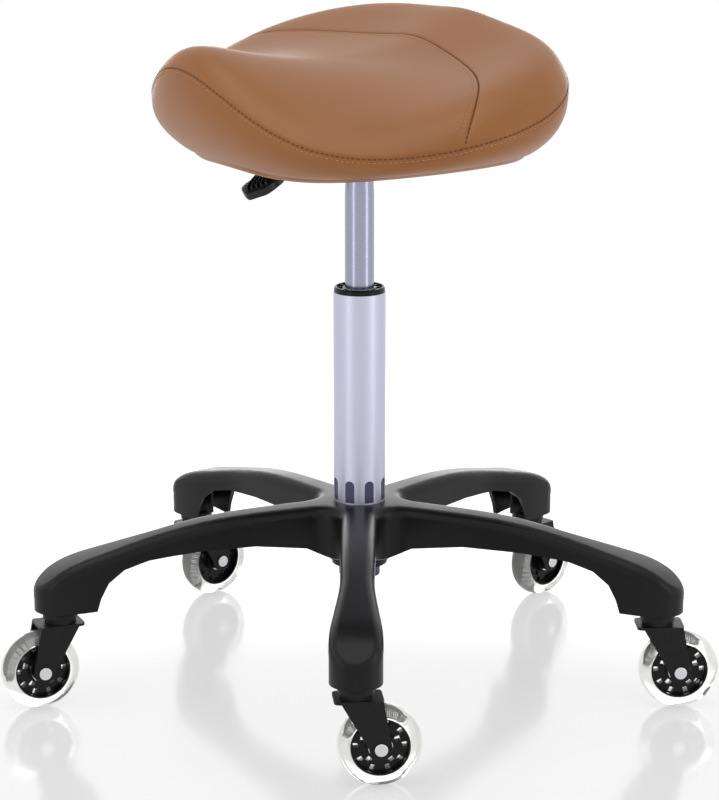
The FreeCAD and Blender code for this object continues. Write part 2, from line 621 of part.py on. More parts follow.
def seat_bolt(x, y):
    """Socket-head bolt, put in from below."""
    seat = PLATE_LOW_Z - WASHER_THICKNESS
    head = cylinder(BOLT_HEAD_SHARE * BOLT_RADIUS, seat - BOLT_RADIUS, seat, x, y)
    key_hole = cylinder(BOLT_RADIUS, seat - BOLT_RADIUS - CUT_PAST, seat - BOLT_RADIUS / 3, x, y)
    shank = cylinder(BOLT_RADIUS, seat - BOLT_RADIUS / 4, seat + SEAT_BOLT_LENGTH, x, y)
    return head.cut(key_hole).fuse(shank)


def bolt_washer(x, y):
    low, high = PLATE_LOW_Z - WASHER_THICKNESS, PLATE_LOW_Z
    disc = cylinder(WASHER_SHARE * BOLT_RADIUS, low, high, x, y)
    return disc.cut(cylinder(BOLT_RADIUS + BOLT_GAP, low - CUT_PAST, high + CUT_PAST, x, y))


def tee_nut(x, y):
    """Nut let into the board from above: a barrel under a wide flange."""
    top = BOARD_Z + BOARD_THICKNESS
    barrel = cylinder(TEE_NUT_RADIUS, BOARD_Z + LINING, top - TEE_NUT_FLANGE / 2, x, y)
    flange = cylinder(2 * TEE_NUT_RADIUS, top - TEE_NUT_FLANGE, top, x, y)
    return barrel.fuse(flange).cut(cylinder(BOLT_RADIUS + LOOSE_GAP, BOARD_Z, top + CUT_PAST, x, y))


# Seat


def seat_outline(inset, height, rear_inset=None):
    """Closed outline of six tangent arcs: round nose, wide flanks, shallow rear. Front is -Y."""
    rear_inset = inset if rear_inset is None else rear_inset
    half = SEAT_HALF_WIDTH - inset
    front = SEAT_FRONT - SEAT_WIDEST
    rear = SEAT_REAR + SEAT_WIDEST
    bow = REAR_CURVE_RADIUS
    hip_radius = (2 * rear * bow - rear ** 2 - SEAT_HALF_WIDTH ** 2) / (2 * (bow - SEAT_HALF_WIDTH))
    nose, shoulder, flank = quarter_points(half, front - inset, FLANK_RADIUS - inset)
    tail, corner, hip = quarter_points(half, rear - rear_inset, hip_radius - rear_inset)

    def placed(point, side, way):
        return Vector(side * point[0], -SEAT_WIDEST - way * point[1], height)

    arcs = [(placed(shoulder, -1, 1), placed(nose, 1, 1), placed(shoulder, 1, 1))]
    widest = (half, 0)
    arcs.append((placed(shoulder, 1, 1), placed(flank, 1, 1), placed(widest, 1, 1)))
    arcs.append((placed(widest, 1, 1), placed(hip, 1, -1), placed(corner, 1, -1)))
    arcs.append((placed(corner, 1, -1), placed(tail, 1, -1), placed(corner, -1, -1)))
    arcs.append((placed(corner, -1, -1), placed(hip, -1, -1), placed(widest, -1, 1)))
    arcs.append((placed(widest, -1, 1), placed(flank, -1, 1), placed(shoulder, -1, 1)))
    return Part.Wire([Part.Arc(*points).toShape() for points in arcs])


def quarter_points(half, reach, side_radius):
    """End point, joint and side middle of two tangent arcs that turn a quarter, from (0, reach) to (half, 0)."""
    across = half - side_radius
    end_radius = (across ** 2 + reach ** 2 - side_radius ** 2) / (2 * (reach - side_radius))
    turn = math.atan2(end_radius - reach, across)
    joint = (across + side_radius * math.cos(turn), side_radius * math.sin(turn))
    middle = (across + side_radius * math.cos(turn / 2), side_radius * math.sin(turn / 2))
    return (0, reach), joint, middle


def seat_sides(inset, low):
    """The seat's flanks as a loft through its outlines, open to above the crown."""
    rings = []
    for height, tuck, rear_tuck in SIDE_RINGS:
        rings.append(seat_outline(tuck + inset, BOARD_Z + height, rear_tuck + inset))
    body = Part.makeLoft(rings, True, False)
    return body.cut(cylinder(TALL / 2, 0, low))


def crown(drop):
    """Everything under the seat's saddle-shaped top: a loft of arcs from nose to rear."""
    half = CROWN_WIDTH / 2
    floor = BOARD_Z + 2 * SIDE_RINGS[0][0]
    sections = []
    for forward, middle, edge in CROWN_STATIONS:
        left = Vector(-half, -forward, BOARD_Z + edge - drop)
        right = Vector(half, -forward, BOARD_Z + edge - drop)
        foot_left, foot_right = Vector(-half, -forward, floor), Vector(half, -forward, floor)
        sections.append(Part.Wire([
            Part.Arc(left, Vector(0, -forward, BOARD_Z + middle - drop), right).toShape(),
            Part.LineSegment(right, foot_right).toShape(),
            Part.LineSegment(foot_right, foot_left).toShape(),
            Part.LineSegment(foot_left, left).toShape(),
        ]))
    return Part.makeLoft(sections, True, False)


def seat_form(inset, low):
    """The seat's whole outer form, or the same form a little inside it."""
    form = biggest(seat_sides(inset, low).common(crown(inset)))
    rim = []
    for edge in form.Edges:
        box = edge.BoundBox
        upright = box.ZLength > 2 * max(box.XLength, box.YLength)
        if box.ZMin > BOARD_Z + RIM_LOWEST and not upright:
            rim.append(edge)
    return form.makeFillet(RIM_ROUND - inset, rim)


def arch_region(gap):
    """Tall prism over the part of the seat in front of the arched seam."""
    left = Vector(-ARCH_HALF_WIDTH, -ARCH_FRONT - gap, 0)
    right = Vector(ARCH_HALF_WIDTH, -ARCH_FRONT - gap, 0)
    far_left, far_right = Vector(left.x, -2 * SEAT_FRONT, 0), Vector(right.x, -2 * SEAT_FRONT, 0)
    edges = [
        Part.Arc(left, Vector(0, -ARCH_REAR - gap, 0), right).toShape(),
        Part.LineSegment(right, far_right).toShape(),
        Part.LineSegment(far_right, far_left).toShape(),
        Part.LineSegment(far_left, left).toShape(),
    ]
    return Part.Face(Part.Wire(edges)).extrude(Vector(0, 0, TALL))


def build_seat():
    low, high = BOARD_Z, BOARD_Z + BOARD_THICKNESS
    board = Part.Face(seat_outline(BOARD_INSET, low, BOARD_REAR_INSET)).extrude(Vector(0, 0, BOARD_THICKNESS))
    lining = Part.Face(seat_outline(BOARD_INSET + LINING_INSET, low - LINING, BOARD_REAR_INSET + LINING_INSET))
    lining = lining.extrude(Vector(0, 0, LINING)).cut(cylinder(DISH_RADIUS, 0, TALL))
    for x, y in bolt_places():
        board = board.cut(cylinder(TEE_NUT_RADIUS + BOLT_GAP, low - CUT_PAST, high + CUT_PAST, x, y))
        board = board.cut(cylinder(2 * TEE_NUT_RADIUS + BOLT_GAP, high - TEE_NUT_FLANGE, high + CUT_PAST, x, y))
        lining = lining.cut(cylinder(BOLT_RADIUS + BOLT_GAP, 0, TALL, x, y))
    keep("seat_board", board)
    keep("dust_cover", lining)
    # foam over the board, under the cover
    filling = seat_form(COVER_THICKNESS + SOFT_GAP, low)
    pocket = Part.Face(seat_outline(BOARD_INSET - SOFT_GAP, 0, BOARD_REAR_INSET - SOFT_GAP))
    keep("seat_foam", biggest(filling.cut(pocket.extrude(Vector(0, 0, high)))))
    # cover, cut into its panels along the rim seam and the arched seam
    cover = seat_form(0.0, low).cut(seat_form(COVER_THICKNESS, low - CUT_PAST))
    seam_low = BOARD_Z + SEAM_LOWEST
    top_zone = Part.Face(seat_outline(SEAM_INSET, seam_low)).extrude(Vector(0, 0, TALL))
    boxing_zone = Part.Face(seat_outline(SEAM_INSET - PART_GAP, seam_low - PART_GAP)).extrude(Vector(0, 0, TALL))
    top_cover = cover.common(top_zone)
    keep("nose_panel", biggest(top_cover.common(arch_region(PART_GAP))))
    keep("rear_panel", biggest(top_cover.cut(arch_region(0.0))))
    keep("boxing", biggest(cover.cut(boxing_zone)))


# Casters


def wheel_hub():
    """Black hub with two rings of windows, drawn about +Y through the origin."""
    rim, boss = TYRE_INNER_RADIUS - HUB_RIM, BEARING_RADIUS + HUB_BOSS_WALL
    half, web = HUB_WIDTH / 2, HUB_WEB / 2
    pocket = half - BEARING_WIDTH
    bore = AXLE_RADIUS + HUB_BORE_GAP
    hub = turned([
        (bore, -pocket), (BEARING_RADIUS, -pocket), (BEARING_RADIUS, -half), (boss, -half),
        (boss, -web), (rim, -web), (rim, -half), (TYRE_INNER_RADIUS, -half), (TYRE_INNER_RADIUS, half),
        (rim, half), (rim, web), (boss, web), (boss, half), (BEARING_RADIUS, half), (BEARING_RADIUS, pocket),
        (bore, pocket),
    ])
    middle = (rim + boss) / 2
    outer = window(middle + WINDOW_MARGIN / 2, rim - WINDOW_MARGIN, OUTER_WINDOW_WIDTH)
    inner = window(boss + WINDOW_MARGIN, middle - WINDOW_MARGIN / 2, INNER_WINDOW_WIDTH)
    for copy in around(outer, OUTER_WINDOWS) + around(inner, INNER_WINDOWS, 180 / OUTER_WINDOWS):
        hub = hub.cut(copy)
    return spin(hub, 90, axis=Vector(1, 0, 0))


def window(near, far, width):
    """Four-sided window that widens outwards, cut along Z."""
    outer, inner = width / 2, width * near / far / 2
    face = polygon_face([
        Vector(near, -inner, 0), Vector(far, -outer, 0), Vector(far, outer, 0), Vector(near, inner, 0),
    ])
    prism = face.extrude(Vector(0, 0, HUB_WIDTH))
    prism.translate(Vector(0, 0, -HUB_WIDTH / 2))
    return prism


def tyre():
    half = TYRE_WIDTH / 2
    shoulder = WHEEL_RADIUS - TYRE_CROWN
    edges = [
        Part.LineSegment(Vector(TYRE_INNER_RADIUS, 0, -half), Vector(shoulder, 0, -half)).toShape(),
        Part.Arc(Vector(shoulder, 0, -half), Vector(WHEEL_RADIUS, 0, 0), Vector(shoulder, 0, half)).toShape(),
        Part.LineSegment(Vector(shoulder, 0, half), Vector(TYRE_INNER_RADIUS, 0, half)).toShape(),
        Part.LineSegment(Vector(TYRE_INNER_RADIUS, 0, half), Vector(TYRE_INNER_RADIUS, 0, -half)).toShape(),
    ]
    solid = Part.Face(Part.Wire(edges)).revolve(Vector(0, 0, 0), Vector(0, 0, 1), 360)
    return spin(solid, 90, axis=Vector(1, 0, 0))


def fork():
    """Stamped fork, drawn with its stem on the Z axis and the wheel trailing along +X."""
    half = FORK_INNER_WIDTH / 2 + FORK_THICKNESS
    top = FORK_PLATE_Z + FORK_THICKNESS
    corner = Vector(-FORK_PLATE_HALF, -half, FORK_PLATE_Z)
    plate = Part.makeBox(FORK_BACK + FORK_PLATE_HALF, 2 * half, FORK_THICKNESS, corner)
    upright = [edge for edge in plate.Edges if edge.BoundBox.ZLength > FORK_THICKNESS / 2]
    plate = plate.makeFillet(FORK_CORNER, upright)
    plate = plate.fuse(cylinder(FORK_RACE_SEAT, FORK_PLATE_Z, top + FORK_SEAT_HEIGHT))
    # two legs that taper down to the axle
    centre = Vector(WHEEL_TRAIL, 0, WHEEL_RADIUS)
    front, back = Vector(FORK_CORNER - FORK_PLATE_HALF, 0, top), Vector(FORK_BACK - 1, 0, top)
    foot_front, foot_back = centre - Vector(FORK_FOOT_RADIUS, 0, 0), centre + Vector(FORK_FOOT_RADIUS, 0, 0)
    outline = Part.Wire([
        Part.LineSegment(front, back).toShape(),
        Part.LineSegment(back, foot_back).toShape(),
        Part.Arc(foot_back, centre - Vector(0, 0, FORK_FOOT_RADIUS), foot_front).toShape(),
        Part.LineSegment(foot_front, front).toShape(),
    ])
    legs = []
    for near in (-half, half - FORK_THICKNESS):
        side = Part.Face(outline).extrude(Vector(0, FORK_THICKNESS, 0))
        side.translate(Vector(0, near, 0))
        legs.append(side)
    body = plate.fuse(legs)
    body = body.cut(Part.makeCylinder(AXLE_RADIUS, 4 * half, centre - Vector(0, 2 * half, 0), Vector(0, 1, 0)))
    return biggest(body.cut(cylinder(STEM_RADIUS + RUN_GAP, 0, ARM_END_Z)))


def axle_bolt():
    """Bolt and its nut on the wheel's axis, as one solid."""
    half = FORK_INNER_WIDTH / 2 + FORK_THICKNESS
    centre = Vector(WHEEL_TRAIL, 0, WHEEL_RADIUS)
    across = Vector(0, 1, 0)
    outside = half + BOLT_HEAD_HEIGHT
    shank = Part.makeCylinder(AXLE_RADIUS, 2 * half + BOLT_HEAD_HEIGHT, centre - Vector(0, half, 0), across)
    head = Part.makeCylinder(BOLT_HEAD_RADIUS, BOLT_HEAD_HEIGHT, centre - Vector(0, outside, 0), across)
    rim = [edge for edge in head.Edges if edge.BoundBox.YMax < -outside + BOLT_HEAD_HEIGHT / 2]
    head = head.makeFillet(BOLT_HEAD_HEIGHT / 3, rim)
    nut = Part.makeCylinder(BOLT_HEAD_RADIUS, BOLT_HEAD_HEIGHT, centre + Vector(0, half, 0), across)
    return head.fuse([shank, nut])


def bearing_pair():
    solids = []
    inner = HUB_WIDTH / 2 - BEARING_WIDTH
    for side in (-1, 1):
        low = inner if side > 0 else -HUB_WIDTH / 2
        race = ring(BEARING_RADIUS, AXLE_RADIUS + RUN_GAP, low, low + BEARING_WIDTH)
        solids.append(spin(race, 90, axis=Vector(1, 0, 0)))
    return solids


def build_casters():
    stems = []
    wheel_place = Vector(WHEEL_TRAIL, 0, WHEEL_RADIUS)
    race_low = FORK_PLATE_Z + FORK_THICKNESS + FORK_SEAT_HEIGHT
    race = turned([
        (STEM_RADIUS + RUN_GAP, race_low), (RACE_RADIUS, race_low), (RACE_RADIUS, race_low + RACE_EDGE_HEIGHT),
        (RACE_RADIUS - RACE_TAPER, ARM_END_Z - PART_GAP), (STEM_RADIUS + RUN_GAP, ARM_END_Z - PART_GAP),
    ])
    stem_low = FORK_PLATE_Z - STEM_HEAD
    for number, trail in enumerate(CASTER_TRAILS):
        arm_angle = math.radians(ARM_TURN + number * 360 / ARM_COUNT)
        place = Vector(CASTER_RADIUS * math.cos(arm_angle), CASTER_RADIUS * math.sin(arm_angle), 0)
        stem = cylinder(STEM_RADIUS, stem_low, ARM_END_Z + STEM_GRIP_LENGTH)
        stem = stem.fuse(cylinder(STEM_HEAD_RADIUS, stem_low, FORK_PLATE_Z - PART_GAP))
        stem.translate(place)
        stems.append(stem)
        pieces = {
            "fork": [fork()], "swivel_race": [race.copy()], "axle": [axle_bolt()],
            "wheel_hub": [wheel_hub()], "tyre": [tyre()], "bearings": bearing_pair(),
        }
        for name, solids in pieces.items():
            for solid in solids:
                if name in ("wheel_hub", "tyre", "bearings"):
                    solid.translate(wheel_place)
                solid.rotate(Vector(0, 0, 0), Vector(0, 0, 1), trail)
                solid.translate(place)
            keep("%s_%d" % (name, number + 1), *solids)
    keep("caster_stems", *stems)


def main():
    keep("star_base", star_base())
    build_gas_lift()
    build_mechanism()
    build_seat()
    build_casters()
    everything = Part.Compound([solid for solids in nodes.values() for solid in solids])
    middle = everything.optimalBoundingBox().Center
    os.makedirs("parts", exist_ok=True)
    for name, solids in nodes.items():
        shape = solids[0] if len(solids) == 1 else Part.Compound(solids)
        shape.translate(Vector(-middle.x, -middle.y, 0))
        shape.exportStep("parts/%s.step" % name)
        print(name, len(shape.Solids), round(shape.Volume), shape.isValid())
    print("column axis at", round(-middle.x, 3), round(-middle.y, 3))


main()
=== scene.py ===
import json
import math

import bmesh
import bpy
from mathutils import Matrix, Vector


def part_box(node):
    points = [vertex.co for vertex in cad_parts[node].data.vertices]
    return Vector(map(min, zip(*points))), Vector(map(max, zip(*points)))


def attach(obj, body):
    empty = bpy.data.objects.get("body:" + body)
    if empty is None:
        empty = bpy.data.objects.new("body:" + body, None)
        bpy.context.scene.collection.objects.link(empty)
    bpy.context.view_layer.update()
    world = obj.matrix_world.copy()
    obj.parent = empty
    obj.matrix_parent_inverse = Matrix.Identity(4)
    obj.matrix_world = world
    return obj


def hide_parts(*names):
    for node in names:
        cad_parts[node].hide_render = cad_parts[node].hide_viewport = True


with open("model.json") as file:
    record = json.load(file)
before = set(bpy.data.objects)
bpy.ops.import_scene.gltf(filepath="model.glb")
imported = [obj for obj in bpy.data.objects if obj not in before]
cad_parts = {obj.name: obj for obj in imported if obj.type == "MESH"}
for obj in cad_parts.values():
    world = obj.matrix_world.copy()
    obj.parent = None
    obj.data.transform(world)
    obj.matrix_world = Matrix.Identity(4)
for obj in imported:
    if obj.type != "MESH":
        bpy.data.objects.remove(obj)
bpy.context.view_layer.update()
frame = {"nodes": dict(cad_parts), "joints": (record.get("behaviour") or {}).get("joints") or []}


# Camera. It looks down at the stool from the seat's right front, a little above the seat's own height,
# through a long lens. The column's axis is the point that it is set out from.

tube_low, tube_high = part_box("outer_tube")
COLUMN = Vector(((tube_low.x + tube_high.x) / 2, (tube_low.y + tube_high.y) / 2, 0))
CAMERA_TURN = math.radians(58.5)
CAMERA_REACH = 2.7607
CAMERA_HEIGHT = 0.979
CAMERA_PITCH = math.radians(14.26)
LENS = 132.6

lens = bpy.data.cameras.new("camera")
lens.lens = LENS
lens.sensor_width = 36
camera = bpy.data.objects.new("camera", lens)
bpy.context.scene.collection.objects.link(camera)
camera.location = COLUMN + Vector((
    CAMERA_REACH * math.sin(CAMERA_TURN), -CAMERA_REACH * math.cos(CAMERA_TURN), CAMERA_HEIGHT))
camera.rotation_euler = (math.pi / 2 - CAMERA_PITCH, 0, CAMERA_TURN)
bpy.context.scene.camera = camera
bpy.context.scene.view_settings.view_transform = "Standard"


# Studio. A pale floor that mirrors the wheels faintly, a white surround, one wide lamp overhead with
# two weaker ones beside it, two upright strips that draw bright lines down the inner tube, and a low
# wide one behind that puts a sheen on the arms' tops.

FLOOR_RADIUS = 14.0
FLOOR_WHITE = "#FBFBFB"
FLOOR_NEAR = 0.5        # within this distance of the column the floor is plain,
FLOOR_FAR = 1.6         # and from here outwards it is pure white to the camera
FLOOR_GLOW = 0.55
SURROUND = "#FFFFFF"
SURROUND_LIGHT = 0.5
LAMPS = (   # place about the column, size, power
    ("lamp_over", (0.25, -0.45, 2.3), 1.7, 11.5),
    ("lamp_left", (-1.2, -2.2, 1.5), 1.4, 4.0),
    ("lamp_right", (2.4, 1.2, 1.4), 1.4, 3.0),
)
STRIPS = (   # degrees round from the camera, distance from the column, width, height, power
    ("strip_left", -47.0, 1.0, 0.20, 0.8, 0.9),
    ("strip_right", 60.0, 1.0, 0.24, 0.8, 1.1),
    ("strip_behind", 180.0, 3.0, 3.2, 0.9, 24.0),
)


def linear(colour):
    """The linear colour of an sRGB hex value."""
    channels = [int(colour[place:place + 2], 16) / 255 for place in (1, 3, 5)]
    return [c / 12.92 if c <= 0.04045 else ((c + 0.055) / 1.055) ** 2.4 for c in channels] + [1.0]


def add_node(tree, kind, inputs=None, **settings):
    """Add a node with its settings; an input takes a value or another node's output."""
    made = tree.nodes.new(kind)
    for name, value in settings.items():
        setattr(made, name, value)
    for name, value in (inputs or {}).items():
        if isinstance(value, bpy.types.NodeSocket):
            tree.links.new(value, made.inputs[name])
        else:
            made.inputs[name].default_value = value
    return made


def new_material(name, surface):
    """A material with one Principled shader, and its tree and shader."""
    material = bpy.data.materials.new(name)
    material.use_nodes = True
    shader = material.node_tree.nodes["Principled BSDF"]
    for socket, value in surface.items():
        shader.inputs[socket].default_value = value
    return material, material.node_tree, shader


def add_relief(tree, shader, height, strength, distance):
    """Raise and sink a shader's surface by a pattern."""
    bump = add_node(tree, "ShaderNodeBump", {
        "Height": height, "Strength": strength, "Distance": distance})
    tree.links.new(bump.outputs[0], shader.inputs["Normal"])


def seen_rays(tree):
    """1 on the rays that show a thing: straight, mirrored, or through something clear."""
    path = add_node(tree, "ShaderNodeLightPath").outputs
    mirrored = add_node(tree, "ShaderNodeMath", {
        0: path["Is Camera Ray"], 1: path["Is Glossy Ray"]}, operation="MAXIMUM")
    seen = add_node(tree, "ShaderNodeMath", {
        0: mirrored.outputs[0], 1: path["Is Transmission Ray"]}, operation="MAXIMUM")
    return seen.outputs[0]


# Pale glossy floor: it keeps the stool's shadow and a soft mirror image, and fades to pure white.
floor_material, tree, shader = new_material("pale_floor", {
    "Base Color": linear(FLOOR_WHITE), "Roughness": 0.12, "Metallic": 0.3})
place = add_node(tree, "ShaderNodeTexCoord").outputs["Object"]
away = add_node(tree, "ShaderNodeVectorMath", {0: place, 1: COLUMN}, operation="DISTANCE")
fade = add_node(tree, "ShaderNodeMapRange", {
    "Value": away.outputs["Value"], "From Min": FLOOR_NEAR, "From Max": FLOOR_FAR, "To Min": FLOOR_GLOW,
    "To Max": 1.0}, interpolation_type="SMOOTHSTEP")
share = add_node(tree, "ShaderNodeMath", {0: seen_rays(tree), 1: fade.outputs[0]}, operation="MULTIPLY")
glow = add_node(tree, "ShaderNodeEmission", {"Color": linear(SURROUND), "Strength": 1.0})
mix = add_node(tree, "ShaderNodeMixShader", {0: share.outputs[0], 1: shader.outputs[0], 2: glow.outputs[0]})
tree.links.new(mix.outputs[0], tree.nodes["Material Output"].inputs["Surface"])

shape = bmesh.new()
bmesh.ops.create_circle(
    shape, cap_ends=True, segments=64, radius=FLOOR_RADIUS, matrix=Matrix.Translation(COLUMN))
floor_mesh = bpy.data.meshes.new("floor")
shape.to_mesh(floor_mesh)
shape.free()
floor_mesh.materials.append(floor_material)
floor = bpy.data.objects.new("floor", floor_mesh)
bpy.context.scene.collection.objects.link(floor)

world = bpy.data.worlds.new("surround")
world.use_nodes = True
bpy.context.scene.world = world
tree = world.node_tree
strength = add_node(tree, "ShaderNodeMapRange", {
    "Value": seen_rays(tree), "To Min": SURROUND_LIGHT, "To Max": 1.0})
tree.nodes["Background"].inputs["Color"].default_value = linear(SURROUND)
tree.links.new(strength.outputs[0], tree.nodes["Background"].inputs["Strength"])

for name, place, size, power in LAMPS:
    lamp = bpy.data.lights.new(name, "AREA")
    lamp.shape = "DISK"
    lamp.size = size
    lamp.energy = power
    stand = bpy.data.objects.new(name, lamp)
    bpy.context.scene.collection.objects.link(stand)
    stand.location = COLUMN + Vector(place)
    aim = COLUMN + Vector((0, 0, 0.45)) - stand.location
    stand.rotation_euler = aim.to_track_quat("-Z", "Y").to_euler()

for name, turn, distance, width, height, power in STRIPS:
    strip = bpy.data.lights.new(name, "AREA")
    strip.shape = "RECTANGLE"
    strip.size = width
    strip.size_y = height
    strip.energy = power
    stand = bpy.data.objects.new(name, strip)
    bpy.context.scene.collection.objects.link(stand)
    stand.visible_camera = False
    round_from_nose = CAMERA_TURN + math.radians(turn)
    out = Vector((math.sin(round_from_nose), -math.cos(round_from_nose), 0))
    stand.location = COLUMN + distance * out + Vector((0, 0, height / 2 + 0.05))
    stand.rotation_euler = (-out).to_track_quat("-Z", "Y").to_euler()


# Star base. One moulding of glass-filled nylon: five arms that flow into the hub, open underneath.
# Its skin has a fine spark-eroded grain, which breaks the highlights up softly.

NYLON_BLACK = "#101011"
NYLON_GRAIN = 0.0011


def black_plastic(name, colour, roughness, grain, relief):
    """Moulded black plastic: even colour, fine grain, slightly uneven gloss."""
    material, tree, shader = new_material(name, {
        "Base Color": linear(colour), "IOR": 1.5, "Specular IOR Level": 0.2})
    place = add_node(tree, "ShaderNodeTexCoord").outputs["Object"]
    cloud = add_node(tree, "ShaderNodeTexNoise", {"Vector": place, "Scale": 18.0, "Detail": 3.0})
    gloss = add_node(tree, "ShaderNodeMapRange", {
        "Value": cloud.outputs[0], "To Min": roughness - 0.05, "To Max": roughness + 0.07})
    pits = add_node(tree, "ShaderNodeTexNoise", {"Vector": place, "Scale": 1 / grain, "Detail": 4.0})
    tree.links.new(gloss.outputs[0], shader.inputs["Roughness"])
    add_relief(tree, shader, pits.outputs[0], relief, grain / 4)
    return material


def solid_of(node):
    """A bmesh of a CAD node, its loose triangles joined."""
    shape = bmesh.new()
    shape.from_mesh(frame["nodes"][node].data)
    bmesh.ops.remove_doubles(shape, verts=shape.verts, dist=0.00001)
    return shape


def make_piece(name, shape, material, body, nodes=(), sharp=35):
    """A finished object from a bmesh, smooth but for edges sharper than an angle, on its body."""
    mesh = bpy.data.meshes.new(name)
    shape.to_mesh(mesh)
    shape.free()
    mesh.shade_smooth()
    mesh.set_sharp_from_angle(angle=math.radians(sharp))
    for entry in material if isinstance(material, tuple) else (material,):
        mesh.materials.append(entry)
    piece = bpy.data.objects.new(name, mesh)
    bpy.context.scene.collection.objects.link(piece)
    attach(piece, body)
    if nodes:
        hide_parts(*nodes)
    return piece


def bake_modifiers(piece):
    """Apply an object's modifiers to its mesh."""
    bpy.context.view_layer.update()
    evaluated = piece.evaluated_get(bpy.context.evaluated_depsgraph_get())
    baked = bpy.data.meshes.new_from_object(evaluated)
    baked.materials.clear()
    for entry in piece.data.materials:
        baked.materials.append(entry)
    piece.modifiers.clear()
    piece.data = baked


def dressed(node, name, material, body, bevel=0.0003, sharp=30):
    """A CAD node's own shape with its edges broken, in a finish, shaded by its larger faces."""
    piece = make_piece(name, solid_of(node), material, body, [node], sharp)
    broken = piece.modifiers.new("edges", "BEVEL")
    broken.width = bevel
    broken.segments = 2
    broken.limit_method = "ANGLE"
    broken.angle_limit = math.radians(sharp)
    weighted = piece.modifiers.new("weighted", "WEIGHTED_NORMAL")
    weighted.keep_sharp = True
    bake_modifiers(piece)
    return piece


nylon = black_plastic("satin_nylon", NYLON_BLACK, 0.34, NYLON_GRAIN, 0.2)
dressed("star_base", "star_base_moulding", nylon, "base", 0.0006, 34)


# Column. A satin chromed steel tube with eight pressed flutes at its foot, where the base grips it.
# The flutes' faces are painted in a darker steel, painted shade for the dark base they mirror, and the tube
# mirrors its surroundings softly, a little cool in colour.

TUBE_STEEL = "#C6C5D8"
FLUTE_SHADE = "#4A4860"
FLUTE_FLOOR = 0.0246    # flute faces lie inside this radius


def satin_metal(name, colour, roughness, streak, across):
    """Brushed or ground metal: faint streaks in the gloss, finer across than along."""
    material, tree, shader = new_material(name, {"Base Color": linear(colour), "Metallic": 1.0})
    place = add_node(tree, "ShaderNodeTexCoord").outputs["Object"]
    scaled = add_node(tree, "ShaderNodeMapping", {"Vector": place, "Scale": across})
    lines = add_node(tree, "ShaderNodeTexNoise", {
        "Vector": scaled.outputs[0], "Scale": 1 / streak, "Detail": 3.0})
    gloss = add_node(tree, "ShaderNodeMapRange", {
        "Value": lines.outputs[0], "To Min": roughness - 0.06, "To Max": roughness + 0.08})
    tree.links.new(gloss.outputs[0], shader.inputs["Roughness"])
    add_relief(tree, shader, lines.outputs[0], 0.06, streak / 4)
    return material


def from_axis(point):
    """Distance of a point from the column's axis."""
    return (point - COLUMN).to_2d().length


tube_steel = satin_metal("satin_chromed_tube", TUBE_STEEL, 0.42, 0.0008, (1, 1, 0.05))
# A darker steel for the flute faces: painted shade, standing in for the dark base they mirror.
flute_painted_shade_steel = satin_metal("flute_painted_shade", FLUTE_SHADE, 0.4, 0.0008, (1, 1, 0.05))
tube = dressed("outer_tube", "column_tube", (tube_steel, flute_painted_shade_steel), "base", 0.0003, 22)
# The faces inside the flutes take the darker steel, as painted shade.
for face in tube.data.polygons:
    outward = face.normal.dot((face.center - COLUMN).to_2d().to_3d().normalized())
    if outward > 0.9 and from_axis(face.center) < FLUTE_FLOOR:
        face.material_index = 1


# Guide bush and collar. Black acetal pushed into the tube's top. Its up-facing faces in the ribbed groove of
# the collar, inside the black rim, are painted pale grey: a painted highlight.

COLLAR_TOP_HIGHLIGHT_GREY = "#C9CACB"
COLLAR_LAND = 0.0205    # the collar's black rim lies outside this radius

collar_black = black_plastic("black_acetal", "#0E0E0F", 0.3, 0.0008, 0.12)
# Pale grey for the collar's up-facing inner faces: a painted highlight.
collar_top_painted_highlight = black_plastic("painted_highlight_collar_top", COLLAR_TOP_HIGHLIGHT_GREY, 0.4, 0.0008, 0.1)
collar = dressed("guide_bush", "column_collar", (collar_black, collar_top_painted_highlight), "base")
# Up-facing faces inside the black rim take the pale grey, a painted highlight.
for face in collar.data.polygons:
    if face.normal.z > 0.9 and from_axis(face.center) < COLLAR_LAND:
        face.material_index = 1


# Gas lift. A chromed inner tube that slides in the bush, ground smooth and brighter than the column.
# The rod, piston and thrust bearing stay inside the column and are plain ground steel.


def finish_node(node, material):
    """Give a CAD node that is shown as it is its finish."""
    mesh = frame["nodes"][node].data
    mesh.materials.clear()
    mesh.materials.append(material)


bright_steel = satin_metal("ground_chrome", "#9D9EB1", 0.25, 0.0006, (1, 1, 0.04))
plain_steel = satin_metal("ground_steel", "#B4B4B8", 0.3, 0.0006, (1, 1, 1))
dressed("lift_tube", "inner_tube", bright_steel, "seat")
for node in ("thrust_bearing", "thrust_washer", "retaining_clip", "piston_rod", "piston", "rod_gland",
             "valve_body", "release_pin", "lever_pin"):
    finish_node(node, plain_steel)
finish_node("rubber_bumper", black_plastic("bumper_rubber", "#1B1B1B", 0.7, 0.0012, 0.3))


# Seat plate and socket. Pressed and welded steel under the seat, in satin black powder coat.
# Four zinc-plated bolts with washers hold it to tee nuts in the plywood board.

powder_coat = black_plastic("black_powder_coat", "#161617", 0.42, 0.0009, 0.4)
zinc = satin_metal("bright_zinc", "#D3D4D8", 0.24, 0.0007, (1, 1, 1))
dressed("seat_plate", "seat_plate_pressing", powder_coat, "seat", 0.0004)
dressed("taper_socket", "taper_socket_tube", powder_coat, "seat", 0.0004)
dressed("seat_bolts", "seat_bolt_set", zinc, "seat")
dressed("bolt_washers", "bolt_washer_set", zinc, "seat", 0.0002)
finish_node("tee_nuts", zinc)


# Release lever. A steel rod, powder coated, with a moulded paddle: blunt at its end, narrower at
# the rod, and crossed on top by five raised ribs that give the fingers hold.

